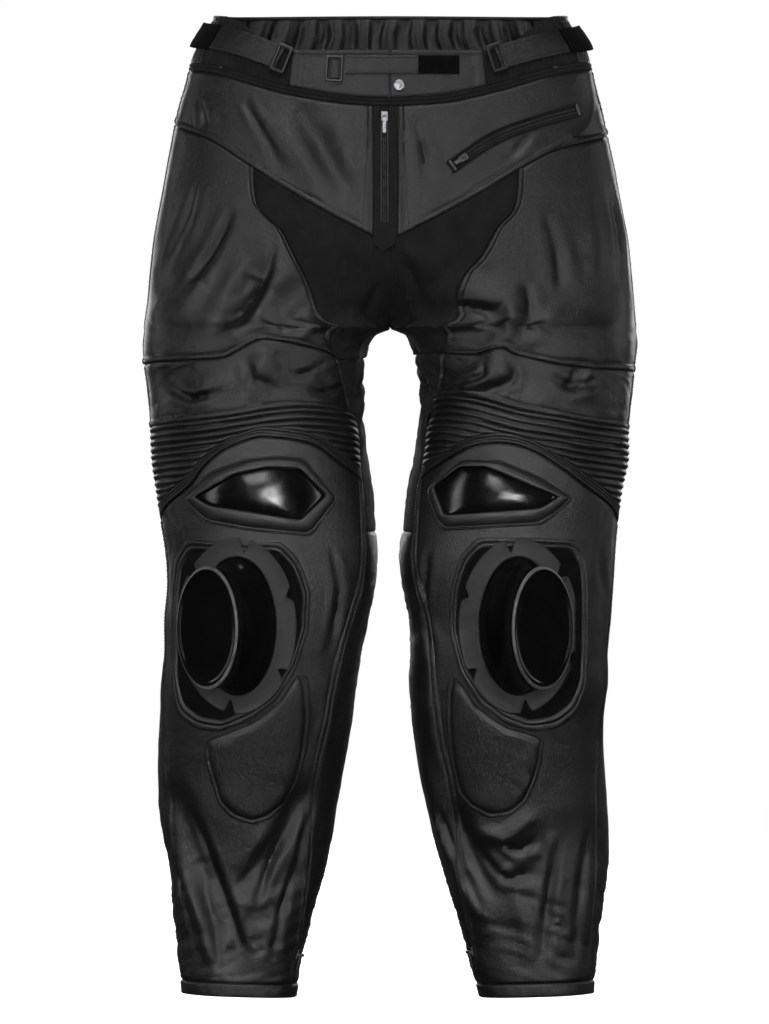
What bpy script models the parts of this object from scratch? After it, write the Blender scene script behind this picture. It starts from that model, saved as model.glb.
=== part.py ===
"""Leather motorcycle trousers, filled out with no wearer and held at the waist.

+Z is up and the front faces -Y. The origin is the middle of the waist opening. Tables are in millimetres.
Each leg is a surface leg(u, z): u runs once round the leg, from the inside (0) by the front to the outer side (0.5) and
back by the rear (1). Above the crotch, u = 0 is the centre front and u = 1 the centre back.
Each panel is a grid between four seams on that surface, and its wall is WALL thick.
"""
import math
from types import SimpleNamespace

import bmesh
import bpy
import numpy as np
from mathutils import Matrix, Vector

MM = 0.001
WALL = 1.8            # leather with its lining
SEAM = 0.17           # each panel stops this far from the seam line
LIFT = 0.8            # what lies on a panel starts this far above it
CROTCH = -244.0
RISE = 105.0          # height over which the legs join into the hips
ROUND = 0.86          # below 1 the sections are squarer than an ellipse

# z, outer and inner edge of the left and right leg as seen from the front, middle, half depth front and back
SECTIONS = (
    # z     outer_l inner_l outer_r inner_r  mid  front back
    (90,      178,    0,     180,     0,      2,   74,   72),
    (75,      184,    0,     185,     0,      1,   74,   72),
    (45,      201,    0,     203,     0,      0,   75,   74),
    (31,      207,    0,     208,     0,      0,   75,   75),
    (14,      210,    0,     211,     0,      0,   76,   78),
    (-18,     219,    0,     219,     0,      0,   78,   84),
    (-51,     226,    0,     226,     0,      0,   82,   90),
    (-84,     232,    0,     233,     0,      0,   86,   96),
    (-117,    238,    0,     239,     0,      0,   89,  100),
    (-150,    244,    0,     245,     0,      0,   91,  101),
    (-183,    248,    0,     249,     0,      0,   93,  100),
    (-216,    251,    0,     252,     0,      0,   94,   98),
    (-244,    254,    0,     254,     0,      0,   94,   95),
    (-249,    254,   12,     254,    15,      0,   94,   94),
    (-256,    255,   19,     255,    20,     -1,   94,   92),
    (-266,    255,   24,     255,    25,     -2,   93,   90),
    (-282,    254,   28,     253,    29,     -3,   92,   87),
    (-298,    252,   31,     252,    33,     -4,   91,   85),
    (-315,    250,   32,     250,    34,     -5,   90,   82),
    (-331,    248,   31,     248,    33,     -7,   88,   80),
    (-348,    247,   27,     246,    29,     -9,   87,   78),
    (-381,    246,   23,     246,    25,    -12,   85,   75),
    (-414,    241,   18,     239,    18,    -15,   82,   73),
    (-447,    236,   15,     235,    14,    -18,   79,   71),
    (-480,    231,   13,     232,    10,    -20,   76,   70),
    (-513,    230,   15,     230,    13,    -19,   74,   69),
    (-546,    233,   22,     228,    20,    -17,   72,   68),
    (-579,    233,   29,     225,    21,    -15,   70,   68),
    (-612,    237,   34,     226,    20,    -11,   68,   67),
    (-645,    238,   38,     222,    22,     -6,   65,   66),
    (-678,    240,   44,     221,    26,      1,   63,   65),
    (-711,    241,   49,     223,    32,      8,   61,   63),
    (-744,    240,   55,     226,    39,     14,   59,   61),
    (-777,    234,   60,     227,    46,     19,   56,   58),
    (-810,    228,   68,     226,    56,     22,   53,   55),
    (-843,    226,   77,     221,    66,     23,   51,   52),
    (-875,    223,   85,     217,    76,     23,   48,   49),
    (-908,    220,   94,     214,    84,     23,   46,   46),
    (-925,    217,   96,     212,    90,     23,   45,   45),
    (-945,    216,   98,     212,    94,     23,   44,   44),
)

# Main folds: side, path of (x, z) on the front, half width, height (a trough is negative)
FOLDS = (
    (-1, ((95, -20), (70, -60), (43, -107)), 11, -4.0),
    (-1, ((125, -30), (100, -60), (76, -93)), 14, 3.0),
    (-1, ((134, -196), (145, -220), (165, -243)), 15, -6.0),
    (-1, ((107, -185), (130, -220), (165, -258)), 13, 5.0),
    (-1, ((196, -196), (222, -222), (247, -237)), 18, 5.0),
    (-1, ((124, -268), (128, -285), (134, -299)), 17, 5.0),
    (-1, ((200, -290), (235, -305)), 14, -4.0),
    (1, ((67, -206), (124, -216), (122, -247), (108, -263)), 13, 5.0),
    (1, ((108, -270), (110, -288), (82, -304), (74, -311)), 15, 5.0),
    (1, ((185, -292), (200, -300)), 18, -4.0),
    (-1, ((220, -727), (183, -830), (158, -906)), 13, -6.0),
    (-1, ((227, -752), (190, -886)), 11, 4.0),
    (-1, ((87, -721), (120, -780), (154, -820)), 12, -5.0),
    (1, ((33, -690), (60, -780), (99, -865)), 11, 4.0),
    (1, ((62, -742), (85, -790), (103, -826)), 12, -5.0),
    (1, ((93, -766), (118, -771), (146, -750)), 9, 4.0),
)

COLOURS = {
    # name: colour, roughness, metallic
    "leather": ((0.030, 0.030, 0.031), 0.52, 0.0),
    "stretch": ((0.020, 0.020, 0.021), 0.85, 0.0),
    "pile": ((0.012, 0.012, 0.012), 0.95, 0.0),
    "rubber": ((0.045, 0.045, 0.046), 0.60, 0.0),
    "gloss": ((0.008, 0.008, 0.009), 0.15, 0.0),
    "plastic": ((0.018, 0.018, 0.019), 0.40, 0.0),
    "steel": ((0.55, 0.55, 0.56), 0.30, 1.0),
}


def smooth_table(rows, heights):
    """Read a table at the heights, with Catmull-Rom slopes between its rows."""
    data = np.array(sorted(rows), dtype=float)
    z = data[:, 0]
    slopes = np.gradient(data, z, axis=0)
    index = np.clip(np.searchsorted(z, heights) - 1, 0, len(z) - 2)
    step = z[index + 1] - z[index]
    t = ((heights - z[index]) / step)[:, None]
    step = step[:, None]
    first, second = data[index], data[index + 1]
    return ((2 * t**3 - 3 * t**2 + 1) * first + (t**3 - 2 * t**2 + t) * step * slopes[index]
            + (3 * t**2 - 2 * t**3) * second + (t**3 - t**2) * step * slopes[index + 1])


HEIGHTS = np.arange(-945.0, 90.1, 2.5)
TURNS = np.linspace(0.0, 1.0, 241)


def power(value):
    return np.sign(value) * np.abs(value) ** ROUND


def build_leg(side):
    """Sections of one leg, evenly spaced round each section: point = (away from the middle, y)."""
    table = smooth_table(SECTIONS, HEIGHTS)
    outer, inner = (table[:, 1], table[:, 2]) if side < 0 else (table[:, 3], table[:, 4])
    mid, front, back = table[:, 5], table[:, 6], table[:, 7]
    inner = np.where(HEIGHTS >= CROTCH, 0.0, np.maximum(inner, 0.0))
    rise = np.clip((HEIGHTS - CROTCH) / RISE, 0.0, 1.0)
    hips = np.sin(0.5 * math.pi * rise ** 0.62)[:, None]
    turn = np.linspace(0.0, 1.0, 1441)[None, :]
    angle = 2 * math.pi * turn
    centre = ((outer + inner) / 2)[:, None]
    half = ((outer - inner) / 2)[:, None]
    leg_x = centre - half * power(np.cos(angle))
    sine = power(np.sin(angle))
    leg_y = mid[:, None] - np.where(sine > 0, front[:, None], back[:, None]) * sine
    arc = math.pi * turn
    hip_x = outer[:, None] * power(np.sin(arc))
    cosine = power(np.cos(arc))
    hip_y = mid[:, None] - np.where(cosine > 0, front[:, None], back[:, None]) * cosine
    x = leg_x * (1 - hips) + hip_x * hips
    y = leg_y * (1 - hips) + hip_y * hips
    points = np.zeros((len(HEIGHTS), len(TURNS), 2))
    for row in range(len(HEIGHTS)):
        length = np.concatenate([[0], np.cumsum(np.hypot(np.diff(x[row]), np.diff(y[row])))])
        length /= length[-1]
        points[row, :, 0] = np.interp(TURNS, length, x[row])
        points[row, :, 1] = np.interp(TURNS, length, y[row])
    return points


LEGS = {side: build_leg(side) for side in (-1, 1)}


def bare_leg(side, u, z):
    """Point of the unfolded surface; u may run past 0 or 1 below the crotch."""
    u, z = np.broadcast_arrays(np.asarray(u, float), np.asarray(z, float))
    u = np.where(u < 0, u + 1, np.where(u > 1, u - 1, u))
    column = np.clip(u * (len(TURNS) - 1), 0, len(TURNS) - 1.001)
    row = np.clip((z - HEIGHTS[0]) / 2.5, 0, len(HEIGHTS) - 1.001)
    i, j = row.astype(int), column.astype(int)
    a, b = (row - i)[..., None], (column - j)[..., None]
    grid = LEGS[side]
    flat = ((1 - a) * ((1 - b) * grid[i, j] + b * grid[i, j + 1])
            + a * ((1 - b) * grid[i + 1, j] + b * grid[i + 1, j + 1]))
    return np.stack([side * flat[..., 0], flat[..., 1], z], axis=-1)


def unit(vector):
    return vector / np.maximum(np.linalg.norm(vector, axis=-1, keepdims=True), 1e-9)


def bare_normal(side, u, z):
    """Outward direction, from differences along the surface that stop at the centre line above the crotch."""
    u, z = np.broadcast_arrays(np.asarray(u, float), np.asarray(z, float))
    low, high = u - 0.008, u + 0.008
    joined = z > CROTCH
    low = np.where(joined, np.maximum(low, 0), low)
    high = np.where(joined, np.minimum(high, 1), high)
    along = bare_leg(side, high, z) - bare_leg(side, low, z)
    up = bare_leg(side, u, np.minimum(z + 5, 90)) - bare_leg(side, u, z - 5)
    return unit(np.cross(along, up) * side)


def fold_height(side, point, normal):
    """Sum of the folds at a point; each fades at its ends and round the side of the leg."""
    total = np.zeros(point.shape[:-1])
    facing = np.clip(-normal[..., 1] * 1.6, 0, 1)
    flat = np.stack([side * point[..., 0], point[..., 2]], axis=-1)
    for fold_side, path, width, height in FOLDS:
        if fold_side != side:
            continue
        path = np.array(path, dtype=float)
        lengths = np.linalg.norm(np.diff(path, axis=0), axis=1)
        whole, start = lengths.sum(), 0.0
        nearest = np.full(total.shape, 1e9)
        place = np.zeros(total.shape)
        for first, second, length in zip(path[:-1], path[1:], lengths):
            t = np.clip(((flat - first) @ (second - first)) / length**2, 0, 1)
            distance = np.linalg.norm(flat - (first + t[..., None] * (second - first)), axis=-1)
            closer = distance < nearest
            nearest = np.where(closer, distance, nearest)
            place = np.where(closer, (start + t * length) / whole, place)
            start += length
        fade = 0.35 + 0.65 * np.sin(math.pi * np.clip(place, 0, 1)) ** 0.5
        total = total + height * fade * np.exp(-(nearest / width) ** 2)
    return total * facing


def leg(side, u, z):
    """Folded surface: its points and its outward directions."""
    point = bare_leg(side, u, z)
    normal = bare_normal(side, u, z)
    point = point + normal * fold_height(side, point, normal)[..., None]
    return keep_side(side, point), normal


def keep_side(side, point):
    """Hold a leg's points on its own side of the middle."""
    point = point.copy()
    point[..., 0] = side * np.maximum(side * point[..., 0], 0.0)
    return point


def turn_at(side, x, z):
    """u of the point of the front at a distance x from the middle, at height z."""
    u = np.linspace(0.0, 0.5, 400)
    across = side * bare_leg(side, u, np.full(400, float(z)))[:, 0]
    across = np.maximum.accumulate(across) + u * 1e-6
    return float(np.interp(x, across, u))


def spline(points, count):
    """Evenly spaced points, count + 1 of them, on a Catmull-Rom curve through the points."""
    p = np.array(points, dtype=float)
    p = np.vstack([2 * p[0] - p[1], p, 2 * p[-1] - p[-2]])
    fine = []
    for k in range(1, len(p) - 2):
        t = np.linspace(0, 1, 12, endpoint=False)[:, None]
        fine.append(0.5 * (2 * p[k] + (p[k + 1] - p[k - 1]) * t
                           + (2 * p[k - 1] - 5 * p[k] + 4 * p[k + 1] - p[k + 2]) * t**2
                           + (3 * p[k] - p[k - 1] - 3 * p[k + 1] + p[k + 2]) * t**3))
    fine = np.vstack(fine + [p[-2:-1]])
    scale = np.array([600.0, 1.0])
    length = np.concatenate([[0], np.cumsum(np.linalg.norm(np.diff(fine, axis=0) * scale, axis=1))])
    where = np.linspace(0, length[-1], count + 1)
    return np.stack([np.interp(where, length, fine[:, 0]), np.interp(where, length, fine[:, 1])], axis=1)


def on_leg(side, front_points, start=None, end=None):
    """Turn (x, z) points of the front view into (u, z), with given (u, z) ends where they leave the front."""
    points = [(turn_at(side, x, z), z) for x, z in front_points]
    if start is not None:
        points.insert(0, start)
    if end is not None:
        points.append(end)
    return points


def join(*curves):
    """One curve from curves that meet end to end."""
    return np.vstack([curves[0]] + [curve[1:] for curve in curves[1:]])


# Inner seam, as a distance in from the inner edge of the leg: z, distance
INNER_SEAM = ((-262, 34), (-300, 18), (-335, 6), (-400, 9), (-455, 12), (-500, 14), (-600, 22), (-711, 28),
              (-772, 23), (-834, 13), (-886, 6), (-926, 4))
# Outer seam: z, u
OUTER_SEAM = ((36, 0.5), (-200, 0.5), (-445, 0.5), (-520, 0.49), (-600, 0.475), (-680, 0.45), (-744, 0.43),
              (-800, 0.43), (-926, 0.44))
BACK_SEAM = 0.92      # u of the seam behind the inside of the thigh

FLY = {-1: 17, 1: 8}  # edges of the fly either side of the middle

# Seams seen from the front, each side with its own points (x, z), from the middle outwards
FRONT_SEAMS = {
    -1: {
        "waist": ((0, -18), (17, -18), (60, -14), (113, -4), (155, 9), (188, 19)),
        "yoke": ((17, -152), (52, -134), (93, -111), (140, -81)),
        "yoke_side": ((140, -81), (190, -49), (220, -31)),
        "crotch": ((140, -81), (139, -104), (135, -122), (122, -137), (111, -147), (98, -172), (82, -206),
                   (72, -232), (62, -258), (52, -279)),
        "thigh": ((52, -279), (65, -270), (100, -262), (124, -258), (139, -260), (160, -272), (183, -278),
                  (225, -282)),
        "rib_top": ((33, -335), (60, -329), (93, -327), (124, -330), (185, -339), (225, -348)),
        "arch": ((33, -402), (52, -384), (80, -365), (124, -358), (144, -360), (170, -371), (190, -387),
                 (211, -412), (226, -430)),
    },
    1: {
        "waist": ((0, -18), (8, -18), (60, -14), (113, -2), (155, 11), (190, 20)),
        "yoke": ((8, -152), (50, -131), (93, -107), (132, -83)),
        "yoke_side": ((132, -83), (175, -61), (222, -43)),
        "crotch": ((132, -83), (130, -113), (124, -129), (110, -144), (92, -175), (77, -191), (68, -216),
                   (63, -240), (57, -261), (50, -271)),
        "thigh": ((50, -271), (85, -273), (103, -268), (119, -268), (134, -275), (194, -286), (232, -290)),
        "rib_top": ((35, -318), (62, -314), (93, -319), (134, -330), (175, -337), (216, -344), (230, -350)),
        "arch": ((33, -402), (47, -388), (62, -378), (82, -368), (113, -364), (144, -371), (175, -389),
                 (206, -412), (222, -432)),
    },
}
COLUMNS = SimpleNamespace(fly=1, crotch=3, side=10, back=8, inner=4)
ROWS = SimpleNamespace(yoke=4, thigh=9, lower=3, ribs=3, upper_shin=2, shin=14)


def seam_net(side):
    """Every seam of one leg as (u, z) points, shared by the panels that meet there."""
    inner_edge = lambda z: side * float(bare_leg(side, 0.0, z)[0])
    inner = [(turn_at(side, inner_edge(z) + offset, z), z) for z, offset in INNER_SEAM]
    inner_u = lambda z: float(np.interp(-z, [-p[1] for p in inner], [p[0] for p in inner]))
    outer_u = lambda z: float(np.interp(-z, [-p[0] for p in OUTER_SEAM], [p[1] for p in OUTER_SEAM]))
    front = FRONT_SEAMS[side]
    net = SimpleNamespace()

    def inner_run(top, bottom, count):
        return np.array([(inner_u(z), z) for z in np.linspace(top, bottom, count + 1)])

    def outer_run(top, bottom, count):
        return np.array([(outer_u(z), z) for z in np.linspace(top, bottom, count + 1)])

    waist = on_leg(side, front["waist"], end=(0.5, 23))
    net.waist = join(np.array(waist[:2]), spline(waist[1:], COLUMNS.crotch + COLUMNS.side))
    net.waist_back = spline([(0.5, 23), (0.62, 30), (0.8, 34), (1.0, 35)], COLUMNS.back)
    net.fly = np.array([(turn_at(side, FLY[side], z), z) for z in np.linspace(-18, -152, ROWS.yoke + 1)])
    net.fly_end = np.array([(0.0, -152), (turn_at(side, FLY[side], -152), -152)])
    net.yoke = spline(on_leg(side, front["yoke"]), COLUMNS.crotch)
    yoke_side = on_leg(side, front["yoke_side"][:-1], end=(0.5, front["yoke_side"][-1][1]))
    net.yoke_side = spline(yoke_side, COLUMNS.side)
    net.crotch = spline(on_leg(side, front["crotch"]), ROWS.thigh)
    thigh = on_leg(side, front["thigh"][:-1], end=(0.5, front["thigh"][-1][1]))
    net.thigh = spline(thigh, COLUMNS.side)
    corner = net.thigh[0]
    net.crotch_end = np.linspace((BACK_SEAM - 1, -272), corner, COLUMNS.crotch + COLUMNS.fly + 1)
    net.crotch_middle = np.array([(0.0, z) for z in np.linspace(-152, CROTCH, ROWS.thigh - 1)])
    net.crotch_back = np.array([(0.0, CROTCH), (-0.035, -257), (BACK_SEAM - 1, -272)])
    rib_top = front["rib_top"]
    net.inner_top = np.linspace(corner, (inner_u(rib_top[0][1]), rib_top[0][1]), ROWS.lower + 1)
    net.inner_ribs = inner_run(rib_top[0][1], -402, ROWS.ribs)
    net.inner_knee = inner_run(-402, -455, ROWS.upper_shin)
    net.inner_shin = inner_run(-455, -925, ROWS.shin)
    ends = (front["yoke_side"][-1][1], front["thigh"][-1][1], rib_top[-1][1], front["arch"][-1][1] - 14)
    net.outer_yoke = outer_run(23, ends[0], ROWS.yoke)
    net.outer_thigh = outer_run(ends[0], ends[1], ROWS.thigh)
    net.outer_lower = outer_run(ends[1], ends[2], ROWS.lower)
    net.outer_ribs = outer_run(ends[2], ends[3], ROWS.ribs)
    net.outer_knee = outer_run(ends[3], ends[3] - 40, ROWS.upper_shin)
    net.outer_shin = outer_run(ends[3] - 40, -921, ROWS.shin)
    top = [tuple(net.inner_ribs[0])] + on_leg(side, rib_top[1:-1], end=tuple(net.outer_ribs[0]))
    net.rib_top = spline(top, COLUMNS.side)
    arch = [tuple(net.inner_ribs[-1])] + on_leg(side, front["arch"][1:-1], end=tuple(net.outer_ribs[-1]))
    net.arch = spline(arch, COLUMNS.side)
    net.middle_back = np.array([(1.0, z) for z in np.linspace(35, CROTCH, 12)])
    net.inside_back = np.array([(BACK_SEAM, z) for z in np.linspace(-272, -455, 9)])
    net.knee_back = spline([tuple(net.outer_shin[0]), (0.7, -468), (BACK_SEAM, -455)], COLUMNS.back)
    net.inside_end = np.linspace((BACK_SEAM, -455), (1 + net.inner_shin[0][0], -455), COLUMNS.inner + 1)
    net.hem_front = np.linspace(net.inner_shin[-1], net.outer_shin[-1], COLUMNS.side + 1)
    net.hem_back = np.linspace(net.outer_shin[-1], net.inner_shin[-1] + (1, 0), COLUMNS.back + COLUMNS.inner + 1)
    return net


NETS = {side: seam_net(side) for side in (-1, 1)}


def coons(bottom, top, left, right):
    """Grid of (u, z) points between four seams; left and right run from the top edge to the bottom edge."""
    left, right = left[::-1], right[::-1]
    across, up = len(bottom), len(left)
    a = np.linspace(0, 1, across)[None, :, None]
    b = np.linspace(0, 1, up)[:, None, None]
    ruled = (1 - b) * bottom[None] + b * top[None] + (1 - a) * left[:, None] + a * right[:, None]
    corners = ((1 - a) * (1 - b) * bottom[0] + a * (1 - b) * bottom[-1]
               + (1 - a) * b * top[0] + a * b * top[-1])
    return ruled - corners


def inset(points, normals, edges):
    """Draw the edges of a grid in by SEAM, square to each edge; edges is a choice of the letters b, t, l, r."""
    moved = points.copy()
    for letter in edges:
        line = {"b": (0, slice(None)), "t": (-1, slice(None)), "l": (slice(None), 0), "r": (slice(None), -1)}[letter]
        inner = {"b": (1, slice(None)), "t": (-2, slice(None)), "l": (slice(None), 1), "r": (slice(None), -2)}[letter]
        edge, inside, normal = points[line], points[inner], normals[line]
        along = unit(np.gradient(edge, axis=0))
        inward = unit(np.cross(normal, along))
        sign = np.sign(np.sum(inward * (inside - edge), axis=-1, keepdims=True))
        moved[line] += inward * sign * SEAM
    return moved


def new_object(name, bm, material, location=(0, 0, 0)):
    """Finish a mesh that was modelled in millimetres and put it in the trousers' collection."""
    bmesh.ops.recalc_face_normals(bm, faces=bm.faces[:])
    mesh = bpy.data.meshes.new(name)
    bmesh.ops.scale(bm, vec=(MM, MM, MM), verts=bm.verts[:])
    bm.to_mesh(mesh)
    bm.free()
    mesh.materials.append(MATERIALS[material])
    mesh.shade_smooth()
    mesh.set_sharp_from_angle(angle=math.radians(40))
    thing = bpy.data.objects.new(name, mesh)
    thing.location = Vector(location) * MM
    PARTS.objects.link(thing)
    return thing


def grid_wall(bm, outer, inner, cyclic=False):
    """Closed wall from a grid of outer points and the same grid of inner points."""
    rows, columns = outer.shape[:2]
    mark = bm.verts.layers.int.get("point") or bm.verts.layers.int.new("point")
    start = len(bm.verts)
    made = bmesh.ops.create_grid(bm, x_segments=columns - 1, y_segments=rows - 1, size=1)["verts"]
    for index, vert in enumerate(made):
        vert[mark] = start + index
        vert.co = outer[index // columns, index % columns]
    faces = list({face for vert in made for face in vert.link_faces})
    extruded = bmesh.ops.extrude_face_region(bm, geom=faces)["geom"]
    for item in extruded:
        if isinstance(item, bmesh.types.BMVert):
            index = item[mark] - start
            item.co = inner[index // columns, index % columns]
    if cyclic:
        bmesh.ops.remove_doubles(bm, verts=bm.verts[:], dist=0.01)
        inside = [face for face in bm.faces if all(len(edge.link_faces) > 2 for edge in face.edges)]
        bmesh.ops.delete(bm, geom=inside, context="FACES")


def panel(name, side, grid, material, edges="btlr", raised=None, wall=WALL):
    """One cloth panel from its (u, z) grid; raised lifts the outer points only."""
    bm = bmesh.new()
    outer, inner = panel_points(side, grid, edges, raised, wall)
    grid_wall(bm, outer, inner)
    return new_object(name, bm, material)


def panel_points(side, grid, edges, raised=None, wall=WALL):
    point, normal = leg(side, grid[..., 0], grid[..., 1])
    point = inset(point, normal, edges)
    inner = keep_off_middle(side, point - normal * wall, grid)
    if raised is not None:
        point = point + normal * raised[..., None]
    return keep_off_middle(side, point, grid), inner


def keep_off_middle(side, point, grid):
    """Above the crotch a wall stops SEAM short of the middle."""
    point = point.copy()
    point[..., 0] = side * np.maximum(side * point[..., 0], SEAM)
    return point


def ring_surface(sides, u, z):
    """Folded surface where a piece runs over both legs; sides holds -1 or 1 for each point."""
    left, left_normal = leg(-1, u, z)
    right, right_normal = leg(1, u, z)
    choose = (sides < 0)[..., None]
    return np.where(choose, left, right), np.where(choose, left_normal, right_normal)


def ring_panel(name, sides, grid, material, edges="btlr", raised=None, lift=0.0, wall=WALL):
    """A piece across the middle, or lifted off the panels, from its sides and (u, z) grid."""
    point, normal = ring_surface(sides, grid[..., 0], grid[..., 1])
    point = inset(point, normal, edges)
    inner = point + normal * lift
    outer = inner + normal * wall if lift else point
    inner = inner if lift else point - normal * wall
    if raised is not None:
        outer = outer + normal * raised[..., None]
    bm = bmesh.new()
    grid_wall(bm, outer, inner)
    return new_object(name, bm, material)


RIB_PITCH = 7.0
RIB_HEIGHT = 3.0


def knee_ribs(name, side, net):
    """Ribbed knee panel: level ribs below its top seam, cut off by the arch over the knee plate."""
    top, arch = net.rib_top, net.arch.copy()
    arch[:, 1] += 1.4 * SEAM
    deepest = float(np.max(top[:, 1] - arch[:, 1]))
    rows = int(math.ceil(deepest / (RIB_PITCH / 2))) + 1
    grid = np.zeros((rows, len(top), 2))
    raised = np.zeros((rows, len(top)))
    for column in range(len(top)):
        depth = top[column, 1] - arch[column, 1]
        for row in range(rows):
            down = min(row * RIB_PITCH / 2, depth)
            if depth - down < 1.2:
                down = depth
            share = down / depth
            grid[row, column] = top[column] * (1 - share) + arch[column] * share
            if row % 2 and share < 1:
                raised[row, column] = RIB_HEIGHT * (0.35 if column in (0, len(top) - 1) else 1.0)
    outer, inner = panel_points(side, grid[::-1], "tlr", raised[::-1])
    bm = bmesh.new()
    grid_wall(bm, outer, inner)
    bmesh.ops.remove_doubles(bm, verts=bm.verts[:], dist=0.02)
    return new_object(name, bm, "leather")


def crotch_panel(name):
    """One stretch panel for both legs: two halves welded down the middle as far as the crotch."""
    bm = bmesh.new()
    for side in (-1, 1):
        net = NETS[side]
        grid = coons(net.crotch_end, join(net.fly_end, net.yoke), join(net.crotch_middle, net.crotch_back), net.crotch)
        point, normal = leg(side, grid[..., 0], grid[..., 1])
        drawn = inset(point, normal, "btr")
        lower = inset(point, normal, "l")
        below = len(net.crotch_back) - 1
        drawn[:below, 0] = lower[:below, 0]
        inner = drawn - normal * WALL
        for points in (drawn, inner):
            points[..., 0] = side * np.maximum(side * points[..., 0], SEAM)
            points[below + 1:, 0, 0] = 0.0
        drawn[below, 0, 0] = 0.0
        grid_wall(bm, drawn, inner)
    middle = [face for face in bm.faces if sum(abs(vert.co.x) < 0.01 for vert in face.verts) >= 3]
    bmesh.ops.delete(bm, geom=middle, context="FACES")
    bmesh.ops.remove_doubles(bm, verts=bm.verts[:], dist=0.05)
    bmesh.ops.holes_fill(bm, edges=[edge for edge in bm.edges if len(edge.link_faces) == 1], sides=8)
    return new_object(name, bm, "stretch")


def leg_panels():
    """The cut pieces of both legs, from the waist to the hem."""
    for side, word in ((-1, "left"), (1, "right")):
        net = NETS[side]
        waist_middle = net.waist[1:]
        panel(f"yoke_{word}", side,
              coons(join(net.yoke, net.yoke_side), waist_middle, net.fly, net.outer_yoke), "leather")
        panel(f"thigh_front_{word}", side,
              coons(net.thigh, net.yoke_side, net.crotch, net.outer_thigh), "leather")
        panel(f"thigh_lower_{word}", side,
              coons(net.rib_top, net.thigh, net.inner_top, net.outer_lower), "leather")
        knee_ribs(f"knee_ribs_{word}", side, net)
        panel(f"shin_{word}", side,
              coons(net.hem_front, net.arch, join(net.inner_knee, net.inner_shin),
                    join(net.outer_knee, net.outer_shin)), "leather")
        inner_front = join(net.inner_top, net.inner_ribs, net.inner_knee)
        panel(f"inner_thigh_{word}", side,
              coons(net.inside_end - (1, 0), net.crotch_end, net.inside_back - (1, 0), inner_front), "stretch")
        outer_back = join(net.outer_yoke, net.outer_thigh, net.outer_lower, net.outer_ribs, net.outer_knee)
        middle_back = join(net.middle_back, net.crotch_back + (1, 0), net.inside_back)
        panel(f"seat_{word}", side, coons(net.knee_back, net.waist_back, outer_back, middle_back), "leather")
        panel(f"calf_{word}", side,
              coons(net.hem_back, join(net.knee_back, net.inside_end), net.outer_shin, net.inner_shin + (1, 0)),
              "leather")
        top = join(net.hem_front, net.hem_back)
        panel(f"hem_{word}", side, np.stack([top - (0, 14), top - (0, 7), top]), "leather")
    crotch_panel("crotch_panel")


BINDING = 8.0
BAND_TOP = 40.0
GATHER = 2.5
FRONT_END, GUSSET_END = 6, 12      # waist columns where the front band and the side gusset end


def waist_line(side):
    return join(NETS[side].waist, NETS[side].waist_back)


def waist_pieces():
    """Binding round the waist, two front bands that meet at the middle, side gussets and the gathered back."""
    lines = {side: waist_line(side) for side in (-1, 1)}
    last = len(lines[-1]) - 1
    ring = [(-1, index) for index in range(last + 1)] + [(1, index) for index in range(last - 1, -1, -1)]
    sides = np.array([side for side, index in ring])
    low = np.array([lines[side][index] for side, index in ring])
    ring_panel("waist_binding", np.stack([sides] * 2), np.stack([low, low + (0, BINDING)]), "stretch", raised=None)
    for side, word in ((-1, "left"), (1, "right")):
        line = lines[side] + (0, BINDING)
        front = line[:FRONT_END + 1]
        rise = np.linspace(0, 1, 4)[:, None]
        tall = front[None, :, :] * np.ones((4, 1, 1))
        tall[..., 1] = front[None, :, 1] * (1 - rise) + BAND_TOP * rise
        ring_panel(f"waistband_front_{word}", np.full(tall.shape[:2], side), tall, "leather")
        gusset = line[FRONT_END:GUSSET_END + 1]
        tall = gusset[None, :, :] * np.ones((4, 1, 1))
        top = gusset_top(len(gusset))
        tall[..., 1] = gusset[None, :, 1] * (1 - rise) + top[None, :] * rise
        ring_panel(f"waist_gusset_{word}", np.full(tall.shape[:2], side), tall, "stretch")
    back = [pair for pair in ring if pair[1] >= GUSSET_END]
    points = np.array([lines[side][index] for side, index in back]) + (0, BINDING + 0.25)
    fine = np.linspace(0, len(back) - 1, 2 * len(back) - 1)
    sides = np.where(fine <= (len(back) - 1) / 2, -1, 1)
    u = np.interp(fine, range(len(back)), points[:, 0])
    bottom = np.interp(fine, range(len(back)), points[:, 1])
    top = 71 + 7 * np.sin(math.pi * fine / fine[-1])
    rise = np.linspace(0, 1, 4)[:, None]
    tall = np.stack([u[None, :] * np.ones((4, 1)), bottom[None, :] * (1 - rise) + top[None, :] * rise], axis=-1)
    raised = np.zeros(tall.shape[:2])
    raised[1:3, 9:-9:2] = GATHER
    ring_panel("waistband_back", np.stack([sides] * 4), tall, "leather", raised=raised)


def gusset_top(count):
    share = np.linspace(0, 1, count)
    return BAND_TOP + (71 - BAND_TOP) * (3 * share**2 - 2 * share**3)


def strip(name, side, path, half, material, lifts, wall, columns=8, rows=2):
    """A strap round the waist: path is (u, z) along its middle, half its half width, lifts at its two ends."""
    around = float(np.sum(np.linalg.norm(np.diff(bare_leg(side, TURNS, np.full(TURNS.shape, 50.0)), axis=0), axis=1)))
    path = spline(path, columns)
    along = unit(np.gradient(path * (around, 1), axis=0))
    offsets = np.linspace(-half, half, rows + 1)[:, None]
    grid = np.stack([path[None, :, 0] - along[None, :, 1] * offsets / around,
                     path[None, :, 1] + along[None, :, 0] * offsets], axis=-1)
    point, normal = leg(side, grid[..., 0], grid[..., 1])
    lift = lifts[0] + (lifts[1] - lifts[0]) * np.linspace(0, 1, columns + 1)[None, :, None] ** 2
    bm = bmesh.new()
    grid_wall(bm, point + normal * (lift + wall), point + normal * lift)
    return new_object(name, bm, material)


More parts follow.
